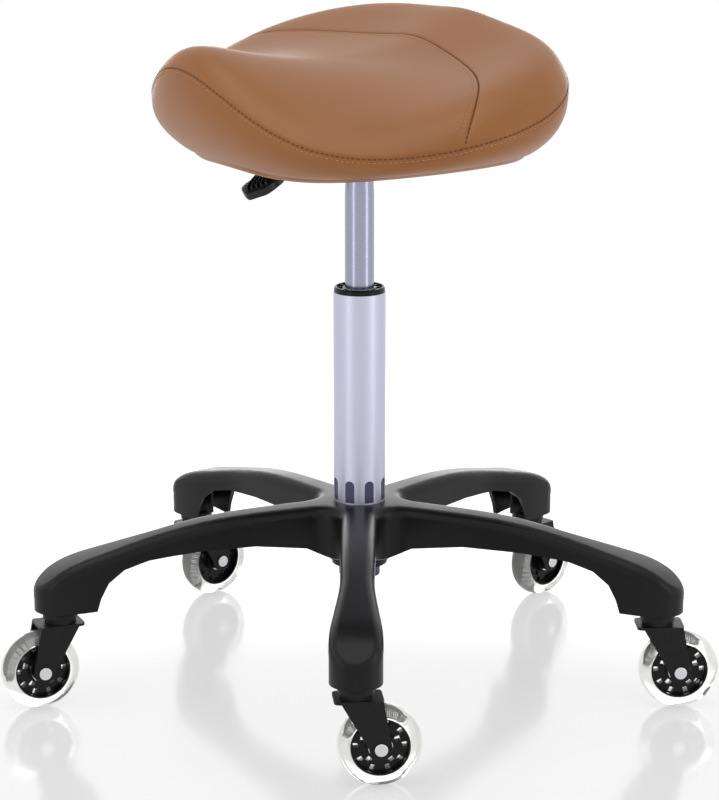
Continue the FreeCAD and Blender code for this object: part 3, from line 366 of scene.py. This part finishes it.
PADDLE_TURN = math.radians(225)
PADDLE_DROOP = math.radians(20)
PIVOT_REACH = 0.020
PADDLE_START = 0.058
PADDLE_END = 0.098
PADDLE_HALF = 0.019
PADDLE_THICK = 0.011
PADDLE_ROLL = math.radians(-18)
PADDLE_SLANT = 0.30
NECK_WIDTH = 0.45       # at the rod, as a share of the full width
NECK_LENGTH = 0.3       # shares of the paddle's length from here on
BLUNT_START = 0.78      # where it starts to narrow towards its end
TIP_START = 0.8         # where it starts to thin
RIB_COUNT = 5
RIB_SPAN = 0.62
RIB_START = 0.009       # from the neck to the middle of the first rib
RIB_ACROSS = 0.030
RIB_HEIGHT = 0.0055
pivot_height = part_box("lever_pin")
PIVOT = COLUMN + Vector((PIVOT_REACH * math.cos(PADDLE_TURN), PIVOT_REACH * math.sin(PADDLE_TURN),
                         (pivot_height[0].z + pivot_height[1].z) / 2))
along_lever = (Matrix.Translation(PIVOT) @ Matrix.Rotation(PADDLE_TURN, 4, "Z")
               @ Matrix.Rotation(PADDLE_DROOP, 4, "Y") @ Matrix.Rotation(PADDLE_ROLL, 4, "X"))

paddle_plastic = black_plastic("paddle_plastic", "#2B2B2F", 0.25, 0.0009, 0.1)
# Light grey for the ribs' top faces: a painted highlight.
rib_crest_painted_highlight = black_plastic("painted_highlight_rib_crest", "#8D9097", 0.3, 0.0009, 0.1)
dressed("lever_rod", "lever_bar", powder_coat, "lever", 0.0004)

shape = bmesh.new()
bmesh.ops.create_cube(shape, size=1.0)
bmesh.ops.subdivide_edges(shape, edges=shape.edges, cuts=11, use_grid_fill=True)
for vertex in shape.verts:
    length, side, height = vertex.co.x + 0.5, vertex.co.y * 2, vertex.co.z
    neck = NECK_WIDTH + (1 - NECK_WIDTH) * min(1.0, length / NECK_LENGTH) ** 0.6
    blunt = 1.0 - 0.45 * max(0.0, (length - BLUNT_START) / (1 - BLUNT_START)) ** 1.5
    half = PADDLE_HALF * min(neck, blunt)
    camber = 1.0 - 0.35 * side * side
    tip = 1.0 - 0.3 * max(0.0, (length - TIP_START) / (1 - TIP_START)) ** 2
    vertex.co = Vector((
        PADDLE_START + (PADDLE_END - PADDLE_START) * length - 0.004 * side * side * length,
        half * side, PADDLE_THICK * height * camber * tip))
rib_pitch = (PADDLE_END - PADDLE_START) * RIB_SPAN / RIB_COUNT
rib_size = Matrix.Diagonal((rib_pitch * 0.4, RIB_ACROSS, RIB_HEIGHT, 1))
for rib in range(RIB_COUNT):
    middle = PADDLE_START + RIB_START + rib * rib_pitch
    rise = Matrix.Translation((middle, 0, PADDLE_THICK * 0.42))
    bar = bmesh.ops.create_cube(shape, size=1.0, matrix=rise @ rib_size)
    crest = max(vertex.co.z for vertex in bar["verts"]) - 0.0001
    # Each rib's top faces take the light grey, a painted highlight.
    for face in {face for vertex in bar["verts"] for face in vertex.link_faces}:
        if face.calc_center_median().z > crest:
            face.material_index = 1
    edges = {edge for vertex in bar["verts"] for edge in vertex.link_edges}
    bmesh.ops.subdivide_edges(shape, edges=[edge for edge in edges if abs(
        edge.verts[0].co.y - edge.verts[1].co.y) > 0.01], cuts=7)
for vertex in shape.verts:
    bow = vertex.co.y / PADDLE_HALF
    vertex.co.x += 0.002 * (1 - bow * bow) + PADDLE_SLANT * vertex.co.y
    vertex.co.z -= 0.0015 * bow * bow
bmesh.ops.transform(shape, matrix=along_lever, verts=shape.verts)
paddle = make_piece("lever_grip", shape, (paddle_plastic, rib_crest_painted_highlight), "lever",
                    ["lever_paddle"])
rounded = paddle.modifiers.new("rounded", "BEVEL")
rounded.width = 0.0007
rounded.segments = 3
rounded.limit_method = "ANGLE"
rounded.angle_limit = math.radians(40)
bake_modifiers(paddle)


# Casters. Each has a stamped fork in black powder coat, a swivel race, a zinc-plated axle bolt, a black
# windowed hub, shielded bearings and a tyre cast from clear polyurethane.

TYRE_PROFILE = (   # radius, half width: a flat side, a round shoulder and a crowned tread
    (0.0270, 0.0105), (0.0285, 0.0116), (0.0310, 0.0119), (0.0335, 0.0110), (0.0355, 0.0090),
    (0.0370, 0.0062), (0.0378, 0.0032), (0.0380, 0.0),
)
BEARING_BORE = 0.00405
INNER_RACE = 0.0055     # outside radius of the inner race
OUTER_RACE = 0.0098     # inside radius of the outer race
BEARING_RADIUS = 0.0110
BEARING_IN = 0.0030     # distances from the wheel's middle plane
SEAL_FACE = 0.0094
BEARING_OUT = 0.0100

# Clear polyurethane: it bends the hub's image and the floor's white, with a faintly scuffed gloss.
clear_tyre, tree, shader = new_material("clear_polyurethane", {
    "Base Color": linear("#FAFAF7"), "IOR": 1.36, "Transmission Weight": 0.84})
place = add_node(tree, "ShaderNodeTexCoord").outputs["Object"]
scuff = add_node(tree, "ShaderNodeTexNoise", {"Vector": place, "Scale": 160.0, "Detail": 5.0})
gloss = add_node(tree, "ShaderNodeMapRange", {"Value": scuff.outputs[0], "To Min": 0.02, "To Max": 0.12})
tree.links.new(gloss.outputs[0], shader.inputs["Roughness"])

hub_plastic = black_plastic("hub_nylon", "#101011", 0.2, 0.0009, 0.08)
seal_rubber = black_plastic("bearing_seal", "#0D0D0D", 0.45, 0.0008, 0.1)
race_steel = satin_metal("bearing_steel", "#E2E2E6", 0.14, 0.0005, (1, 1, 1))
stem_zinc = satin_metal("stem_zinc", "#C4C5C9", 0.3, 0.0007, (1, 1, 1))
dressed("caster_stems", "caster_stem_set", stem_zinc, "base")


def spun(profile, middle, axis):
    """A ring spun from (radius, offset) points about an axis through a point."""
    shape = bmesh.new()
    points = [shape.verts.new((radius, 0, offset)) for radius, offset in profile]
    edges = [shape.edges.new(pair) for pair in zip(points, points[1:] + points[:1])]
    bmesh.ops.spin(shape, geom=points + edges, cent=(0, 0, 0), axis=(0, 0, 1),
                   angle=2 * math.pi, steps=96, use_merge=True)
    bmesh.ops.remove_doubles(shape, verts=shape.verts, dist=0.000005)
    bmesh.ops.recalc_face_normals(shape, faces=shape.faces)
    turn = Vector((0, 0, 1)).rotation_difference(axis).to_matrix().to_4x4()
    bmesh.ops.transform(shape, matrix=Matrix.Translation(middle) @ turn, verts=shape.verts)
    return shape


for joint in frame["joints"]:
    if not joint["name"].startswith("wheel_spin_"):
        continue
    number = joint["name"].rsplit("_", 1)[1]
    fork_body, wheel_body = "caster_" + number, "wheel_" + number
    middle, axis = Vector(joint["pos_m"]), Vector(joint["axis"])
    dressed("fork_" + number, "fork_pressing_" + number, powder_coat, fork_body, 0.0004)
    dressed("swivel_race_" + number, "race_cup_" + number, powder_coat, fork_body, 0.0005)
    dressed("axle_" + number, "axle_bolt_" + number, zinc, fork_body)
    dressed("wheel_hub_" + number, "hub_moulding_" + number, hub_plastic, wheel_body, 0.0003)
    left = [(radius, half) for radius, half in TYRE_PROFILE]
    right = [(radius, -half) for radius, half in reversed(TYRE_PROFILE[:-1])]
    make_piece("tyre_ring_" + number, spun(left + right, middle, axis), clear_tyre, wheel_body,
               ["tyre_" + number], 60)
    bearing = bmesh.new()
    for way in (-1, 1):
        outside, inside, recess = way * BEARING_OUT, way * BEARING_IN, way * SEAL_FACE
        ring = [(BEARING_BORE, inside), (BEARING_BORE, outside), (INNER_RACE, outside), (INNER_RACE, recess),
                (OUTER_RACE, recess), (OUTER_RACE, outside), (BEARING_RADIUS, outside),
                (BEARING_RADIUS, inside)]
        part = spun(ring, middle, axis)
        holder = bpy.data.meshes.new("bearing_part")
        part.to_mesh(holder)
        part.free()
        bearing.from_mesh(holder)
    for face in bearing.faces:
        reach = face.calc_center_median() - middle
        radius = (reach - axis * reach.dot(axis)).length
        on_seal = abs(face.normal.dot(axis)) > 0.7 and abs(abs(reach.dot(axis)) - SEAL_FACE) < 0.0002
        face.material_index = 1 if on_seal and INNER_RACE < radius < OUTER_RACE else 0
    make_piece("wheel_bearings_" + number, bearing, (race_steel, seal_rubber), wheel_body,
               ["bearings_" + number])


# Seat cushion. Moulded foam on a plywood board, shaped as a saddle: a raised nose, a dip across the
# middle and a higher rear. The cover is caramel-brown coated hide, cut as a nose panel, a rear panel
# behind the arched seam, and one boxing strip round the side that wraps under the board.

SEAT_CENTRE = COLUMN - Vector((0, 0.041, 0))
SEAT_MIDDLE_HEIGHT = 0.6117
SEAT_LEAN = math.tan(math.radians(-1.8))
ARCH_HALF_WIDTH = 0.2487
ARCH_APEX = -0.1036          # behind the seat's centre
ARCH_SPRING = 0.0520         # where the arch runs straight forward
ARCH_POWER = 2.0
SIDE_TUCK = 0.0455
SIDE_CURVE = 2.59
BOARD_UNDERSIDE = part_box("seat_board")[0].z
BOARD_FLAT = 0.118           # the board is flat within this distance of the seat's centre
BOARD_RISE_IN = 0.0035       # its rim lies this far above the cover's lower edge
TURN_IN = 0.024
CREASE_RISE = 0.0045         # a crease runs round the side this far above the lower edge
CREASE_DEPTH = 0.0030
CREASE_WIDTH = 0.0014
RIM_TOPSTITCH = 0.005        # rows of topstitching: this far below the rim seam
ARCH_TOPSTITCH = 0.0065      # and this far inside the arched one
SIDE_SHARE = 0.7             # share of the boxing's grid above the lower edge
COVER_THICKNESS = 0.0018
COLUMNS = 300


def rim_reach(angle):
    """From the seat's centre to the rim seam, by direction; 0 is the nose."""
    return (0.1952 - 0.0245 * math.cos(angle) - 0.0355 * math.cos(2 * angle)
            + 0.0200 * math.cos(3 * angle) - 0.0033 * math.cos(4 * angle))


def crown_height(share, angle):
    """Height of the seat's top at a share of the way out to the rim seam."""
    once, twice, thrice, four = (math.cos(times * angle) for times in (1, 2, 3, 4))
    bowl = (0.0483 * twice - 0.0123) * share ** 2 + (0.0279 - 0.0267 * twice - 0.0044 * four) * share ** 4
    saddle = 0.0060 * once * share + (0.0287 * thrice - 0.0430 * once) * share ** 3
    roll_off = (0.0326 - 0.0127 * once - 0.0116 * twice + 0.0220 * thrice) * share ** 11.1
    lean = SEAT_LEAN * rim_reach(angle) * share * math.sin(angle)
    return SEAT_MIDDLE_HEIGHT + bowl + saddle - roll_off + 0.0076 * four * share ** 6 + lean


def arch_share(angle):
    """Share of the way to the rim at which the arched seam lies; 1 ahead of it."""
    reach = rim_reach(angle)
    low, high = 0.0, 1.0
    for _ in range(40):
        share = (low + high) / 2
        across = abs(reach * share * math.sin(angle)) / ARCH_HALF_WIDTH
        behind = (ARCH_SPRING - reach * share * math.cos(angle)) / (ARCH_SPRING - ARCH_APEX)
        outside = across ** ARCH_POWER + max(behind, 0.0) ** ARCH_POWER > 1.0
        low, high = (low, share) if outside else (share, high)
    return 1.0 if low > 0.9999 else low


def seam_dip(distance, channel=0.0):
    """How far the cover sinks beside a seam, and in a row of topstitching beside it."""
    dip = 0.0013 * math.exp(-(distance / 0.0011) ** 2) + 0.0009 * math.exp(-distance / 0.006)
    if channel:
        dip += 0.0005 * math.exp(-((distance - channel) / 0.0011) ** 2)
    return dip


def from_centre(reach, angle, height):
    """A point at a reach from the seat's centre, by direction and height."""
    return SEAT_CENTRE + Vector((reach * math.sin(angle), -reach * math.cos(angle), height))


def on_top(share, angle, sink=0.0, inward=0.0):
    """A point of the seat's top, sunk or drawn inward a little."""
    return from_centre(rim_reach(angle) * share - inward, angle, crown_height(share, angle) - sink)


def bottom_edge(angle):
    """Radius and height of the side's lower edge."""
    low = 0.5206 + 0.0006 * math.cos(angle) - 0.0073 * math.cos(2 * angle) + 0.0065 * math.cos(3 * angle)
    rear_rise = 0.008 * max(0.0, (-math.cos(angle) - 0.8) / 0.2) ** 2
    return rim_reach(angle) - SIDE_TUCK, low + rear_rise


def on_side(way, angle, sink=0.0):
    """A point of the boxing, from the rim seam (0) to the lower edge (1)."""
    high, low = crown_height(1.0, angle), bottom_edge(angle)[1]
    reach = rim_reach(angle) - SIDE_TUCK * way ** SIDE_CURVE - sink
    return from_centre(reach, angle, high + (low - high) * way)


def board_low(radius, angle):
    """Height of the board's underside: flat over the plate, then bent to follow the cover's edge."""
    edge, low = bottom_edge(angle)
    way = min(1.0, max(0.0, (radius - BOARD_FLAT) / (edge - BOARD_FLAT)))
    return BOARD_UNDERSIDE + (low + BOARD_RISE_IN - BOARD_UNDERSIDE) * (3 * way ** 2 - 2 * way ** 3)


def under_board(way, angle):
    """A point of the boxing's turn-in, from the lower edge (0) to the board's underside (1)."""
    radius, low = bottom_edge(angle)
    inner = radius - TURN_IN
    floor = board_low(inner, angle) - COVER_THICKNESS
    bend_radius, bend_height = radius - 0.003, low - 0.003
    reach = (1 - way) ** 2 * radius + 2 * way * (1 - way) * bend_radius + way ** 2 * inner
    height = (1 - way) ** 2 * low + 2 * way * (1 - way) * bend_height + way ** 2 * floor
    return from_centre(reach, angle, height)


def panel(columns, rows, first, last, place):
    """A sheet of quads from a grid: place gives a point for an angle and a way across, 0 to 1."""
    shape = bmesh.new()
    bmesh.ops.create_grid(shape, x_segments=columns, y_segments=rows, size=0.5)
    for vertex in shape.verts:
        vertex.co = place(first + (last - first) * (vertex.co.x + 0.5), vertex.co.y + 0.5)
    bmesh.ops.remove_doubles(shape, verts=shape.verts, dist=0.000002)
    return shape


def nose_point(angle, way):
    """The nose panel, from the seat's middle (0) out to the arched seam or the rim (1)."""
    edge = arch_share(angle)
    share = edge * (1 - (1 - way) ** 1.8)
    distance = rim_reach(angle) * (edge - share)
    if edge < 1.0:
        return on_top(share, angle, seam_dip(distance, ARCH_TOPSTITCH))
    return on_top(share, angle, seam_dip(distance), seam_dip(distance) * 0.5)


def rear_point(angle, way):
    """The rear panel, from the arched seam (0) out to the rim (1)."""
    edge = arch_share(angle)
    eased = 3 * way ** 2 - 2 * way ** 3
    share = edge + (1 - edge) * eased
    reach = rim_reach(angle)
    from_arch, from_rim = reach * (share - edge), reach * (1 - share)
    return on_top(share, angle, seam_dip(min(from_arch, from_rim)), seam_dip(from_rim) * 0.5)


def boxing_point(angle, way):
    """The boxing, from the rim seam (0) down the side and under the board (1)."""
    if way > SIDE_SHARE:
        return under_board((way - SIDE_SHARE) / (1 - SIDE_SHARE), angle)
    down = (way / SIDE_SHARE) ** 1.8
    height = crown_height(1.0, angle) - bottom_edge(angle)[1]
    crease = CREASE_DEPTH * math.exp(-((height * (1 - down) - CREASE_RISE) / CREASE_WIDTH) ** 2)
    sink = seam_dip(height * down, RIM_TOPSTITCH) * 0.9 + crease
    return on_side(down, angle, sink) - Vector((0, 0, seam_dip(height * down)))


# Coated hide: warm brown, a little uneven in tone, with a fine closed grain under a soft satin gloss.
hide, tree, shader = new_material("coated_hide", {
    "IOR": 1.47, "Specular IOR Level": 0.35, "Coat Weight": 0.05, "Coat Roughness": 0.3})
place = add_node(tree, "ShaderNodeTexCoord").outputs["Object"]
cloud = add_node(tree, "ShaderNodeTexNoise", {"Vector": place, "Scale": 9.0, "Detail": 3.0})
tone = add_node(tree, "ShaderNodeValToRGB", {"Fac": cloud.outputs[0]})
tone.color_ramp.elements[0].position = 0.3
tone.color_ramp.elements[0].color = linear("#965D2E")
tone.color_ramp.elements[1].position = 0.7
tone.color_ramp.elements[1].color = linear("#9E6535")
gloss = add_node(tree, "ShaderNodeMapRange", {"Value": cloud.outputs[0], "To Min": 0.38, "To Max": 0.46})
grain = add_node(tree, "ShaderNodeTexVoronoi", {"Vector": place, "Scale": 1100.0}, feature="DISTANCE_TO_EDGE")
pores = add_node(tree, "ShaderNodeTexNoise", {"Vector": place, "Scale": 2600.0, "Detail": 2.0})
mixed = add_node(tree, "ShaderNodeMath", {0: grain.outputs[0], 1: pores.outputs[0]}, operation="ADD")
tree.links.new(tone.outputs[0], shader.inputs["Base Color"])
tree.links.new(gloss.outputs[0], shader.inputs["Roughness"])
add_relief(tree, shader, mixed.outputs[0], 0.12, 0.0002)

# The rear panel starts one column of the grid ahead of where the arched seam leaves the rim.
arch_start = next(step for step in range(COLUMNS) if arch_share(2 * math.pi * step / COLUMNS) < 1.0)
first_angle = 2 * math.pi * (arch_start - 1) / COLUMNS
rear_columns = COLUMNS - 2 * arch_start + 2
panels = (
    ("nose_panel", panel(COLUMNS, 76, 0.0, 2 * math.pi, nose_point)),
    ("rear_panel", panel(rear_columns, 40, first_angle, 2 * math.pi - first_angle, rear_point)),
    ("boxing", panel(COLUMNS, 80, 0.0, 2 * math.pi, boxing_point)),
)
for name, shape in panels:
    bmesh.ops.recalc_face_normals(shape, faces=shape.faces)
    cover = make_piece(name + "_cover", shape, hide, "seat", [name], 50)
    thick = cover.modifiers.new("thick", "SOLIDIFY")
    thick.thickness = COVER_THICKNESS
    thick.offset = -1.0
    bake_modifiers(cover)


# Foam and board. The foam fills the cover, the moulded plywood board carries it, and black non-woven
# cloth closes the underside round the seat plate, stapled over the cover's turned-in edge.

FOAM_RISE = 0.019            # the foam stops this far above the cover's lower edge, on the board
FOAM_GAP = 0.0042            # from the cover's outside to the foam
FOAM_TOP_SHARE = 0.6         # share of the foam's grid on its top
BOARD_THICK = 0.012
BOARD_SETBACK = 0.0035       # the board ends this far inside the cover's lower edge,
CLOTH_SETBACK = 0.019        # and the cloth this far
CLOTH_THICK = 0.0009
PLATE_CLEAR = 0.0785         # the cloth starts at this distance from the column's axis

# Moulded foam: cream and matte, pitted by its cut cells.
foam_material, tree, shader = new_material("moulded_foam", {
    "Base Color": linear("#E6DDC2"), "Roughness": 0.9})
place = add_node(tree, "ShaderNodeTexCoord").outputs["Object"]
cells = add_node(tree, "ShaderNodeTexVoronoi", {"Vector": place, "Scale": 900.0})
add_relief(tree, shader, cells.outputs["Distance"], 0.5, 0.0004)


def foam_point(angle, way):
    """The foam's skin, from the middle of its top (0) down its side to the board (1)."""
    if way < FOAM_TOP_SHARE:
        share = 1 - (1 - way / FOAM_TOP_SHARE) ** 1.8
        return on_top(share, angle, FOAM_GAP, FOAM_GAP * share)
    down = (way - FOAM_TOP_SHARE) / (1 - FOAM_TOP_SHARE)
    height = crown_height(1.0, angle) - bottom_edge(angle)[1]
    side = on_side(down * (1 - FOAM_RISE / height), angle, FOAM_GAP)
    return side - Vector((0, 0, FOAM_GAP * (1 - down)))


shape = panel(120, 60, 0.0, 2 * math.pi, foam_point)
bmesh.ops.holes_fill(shape, edges=[edge for edge in shape.edges if edge.is_boundary], sides=0)
bmesh.ops.recalc_face_normals(shape, faces=shape.faces)
foam = make_piece("foam_core", shape, foam_material, "seat", ["seat_foam"], 60)

# Birch plywood: pale and dry, with darker veins along the grain.
wood, tree, shader = new_material("birch_plywood", {"Roughness": 0.6})
place = add_node(tree, "ShaderNodeTexCoord").outputs["Object"]
stretched = add_node(tree, "ShaderNodeMapping", {"Vector": place, "Scale": (1, 12, 60)})
grain = add_node(tree, "ShaderNodeTexNoise", {"Vector": stretched.outputs[0], "Scale": 8.0, "Detail": 6.0})
tone = add_node(tree, "ShaderNodeValToRGB", {"Fac": grain.outputs[0]})
tone.color_ramp.elements[0].color = linear("#B98A55")
tone.color_ramp.elements[1].color = linear("#DDB984")
tree.links.new(tone.outputs[0], shader.inputs["Base Color"])


def board_point(angle, way):
    """Round the board's section: out along its underside, up its edge and back over its top."""
    edge = bottom_edge(angle)[0] - BOARD_SETBACK
    if way < 0.5:
        radius, lift = edge * way / 0.5, 0.0
    else:
        radius, lift = edge * (1 - way) / 0.5, BOARD_THICK
    return from_centre(radius, angle, board_low(radius, angle) + lift)


shape = panel(120, 42, 0.0, 2 * math.pi, board_point)
bmesh.ops.recalc_face_normals(shape, faces=shape.faces)
make_piece("moulded_board", shape, wood, "seat", ["seat_board"], 40)

# Black non-woven cloth: matte, with the dimples of its bonded fibres.
cloth, tree, shader = new_material("black_non_woven", {"Base Color": linear("#19191A"), "Roughness": 0.85})
place = add_node(tree, "ShaderNodeTexCoord").outputs["Object"]
fibres = add_node(tree, "ShaderNodeTexVoronoi", {"Vector": place, "Scale": 700.0})
add_relief(tree, shader, fibres.outputs["Distance"], 0.6, 0.0003)


def lining_point(angle, way):
    """The cloth runs from the seat plate's edge out over the turn-in of the cover."""
    edge = bottom_edge(angle)[0] - CLOTH_SETBACK
    to_centre = SEAT_CENTRE - COLUMN
    turned = Vector((math.sin(angle), -math.cos(angle), 0))
    beside = to_centre.dot(turned)
    across = to_centre.length_squared - beside ** 2
    inner = math.sqrt(max(0.0, PLATE_CLEAR ** 2 - across)) - beside
    radius = inner + (edge - inner) * way
    over_turn_in = 0.002 * min(1.0, max(0.0, (radius - edge + 0.012) / 0.006))
    return SEAT_CENTRE + turned * radius + Vector((0, 0, board_low(radius, angle) - 0.0002 - over_turn_in))


shape = panel(120, 16, 0.0, 2 * math.pi, lining_point)
bmesh.ops.recalc_face_normals(shape, faces=shape.faces)
lining = make_piece("dust_lining", shape, cloth, "seat", ["dust_cover"], 40)
backed = lining.modifiers.new("backed", "SOLIDIFY")
backed.thickness = CLOTH_THICK
backed.offset = 0.0
bake_modifiers(lining)


# Stitching. A dark row of dashes pulled down into each seam, painted shade where the seam opens between its
# stitches, and a lighter row of bonded-thread topstitching beside it, 5 mm below the rim seam and 6.5 mm
# inside the arched one.

STITCH_PITCH = 0.0048
STITCH_LENGTH = 0.0034
THREAD_RADIUS = 0.00042
LINE_STEPS = 4000
IN_SEAM = 0.0014        # the dark dashes of painted seam shade lie this far down in a seam,
ON_HIDE = 0.0006        # and this far down in a row of topstitching


def thread_and_seam_shade(name, colour):
    """Bonded thread, and the dark seam dashes of painted shade: a dull sheen over twisted plies."""
    material, tree, shader = new_material(name, {"Base Color": linear(colour), "Roughness": 0.55})
    place = add_node(tree, "ShaderNodeTexCoord").outputs["Object"]
    plies = add_node(tree, "ShaderNodeTexNoise", {"Vector": place, "Scale": 1500.0, "Detail": 2.0})
    add_relief(tree, shader, plies.outputs[0], 0.4, 0.0002)
    return material


def stitch_row(shape, line, first, last):
    """Lay a row of stitch-sized dashes along a line, which gives a point for an angle."""
    angles = [first + (last - first) * step / LINE_STEPS for step in range(LINE_STEPS + 1)]
    points = [line(angle) for angle in angles]
    travelled, due = 0.0, STITCH_PITCH / 2
    for start, end in zip(points, points[1:]):
        travelled += (end - start).length
        if travelled < due:
            continue
        due += STITCH_PITCH
        turn = (end - start).to_track_quat("X", "Z").to_matrix().to_4x4()
        size = Matrix.Diagonal((STITCH_LENGTH / 2, THREAD_RADIUS, THREAD_RADIUS, 1))
        bmesh.ops.create_uvsphere(shape, u_segments=6, v_segments=5, radius=1.0,
                                  matrix=Matrix.Translation(end) @ turn @ size)


def rim_line(angle):
    """In the rim seam."""
    return on_top(1.0, angle, IN_SEAM, 0.0008)


def arch_line(angle):
    """In the arched seam."""
    return on_top(arch_share(angle), angle, IN_SEAM)


def rim_topstitch(angle):
    """Below the rim seam."""
    way = RIM_TOPSTITCH / (crown_height(1.0, angle) - bottom_edge(angle)[1])
    return on_side(way, angle, ON_HIDE)


def arch_topstitch(angle):
    """Inside the arched seam."""
    share = arch_share(angle) - ARCH_TOPSTITCH / rim_reach(angle)
    return on_top(share, angle, ON_HIDE)


arch_first = first_angle + 0.02
arch_last = 2 * math.pi - arch_first
rows = (
    # The seam rows' dark brown is painted shade, standing in for the seams' openings between stitches.
    ("seam_dashes_painted_shade", "#54301A", ((rim_line, 0.0, 2 * math.pi), (arch_line, arch_first, arch_last))),
    ("topstitches", "#C08A5E", ((rim_topstitch, 0.0, 2 * math.pi), (arch_topstitch, arch_first, arch_last))),
)
for name, colour, lines in rows:
    shape = bmesh.new()
    for line, first, last in lines:
        stitch_row(shape, line, first, last)
    make_piece(name, shape, thread_and_seam_shade(name + "_thread", colour), "seat", (), 80)
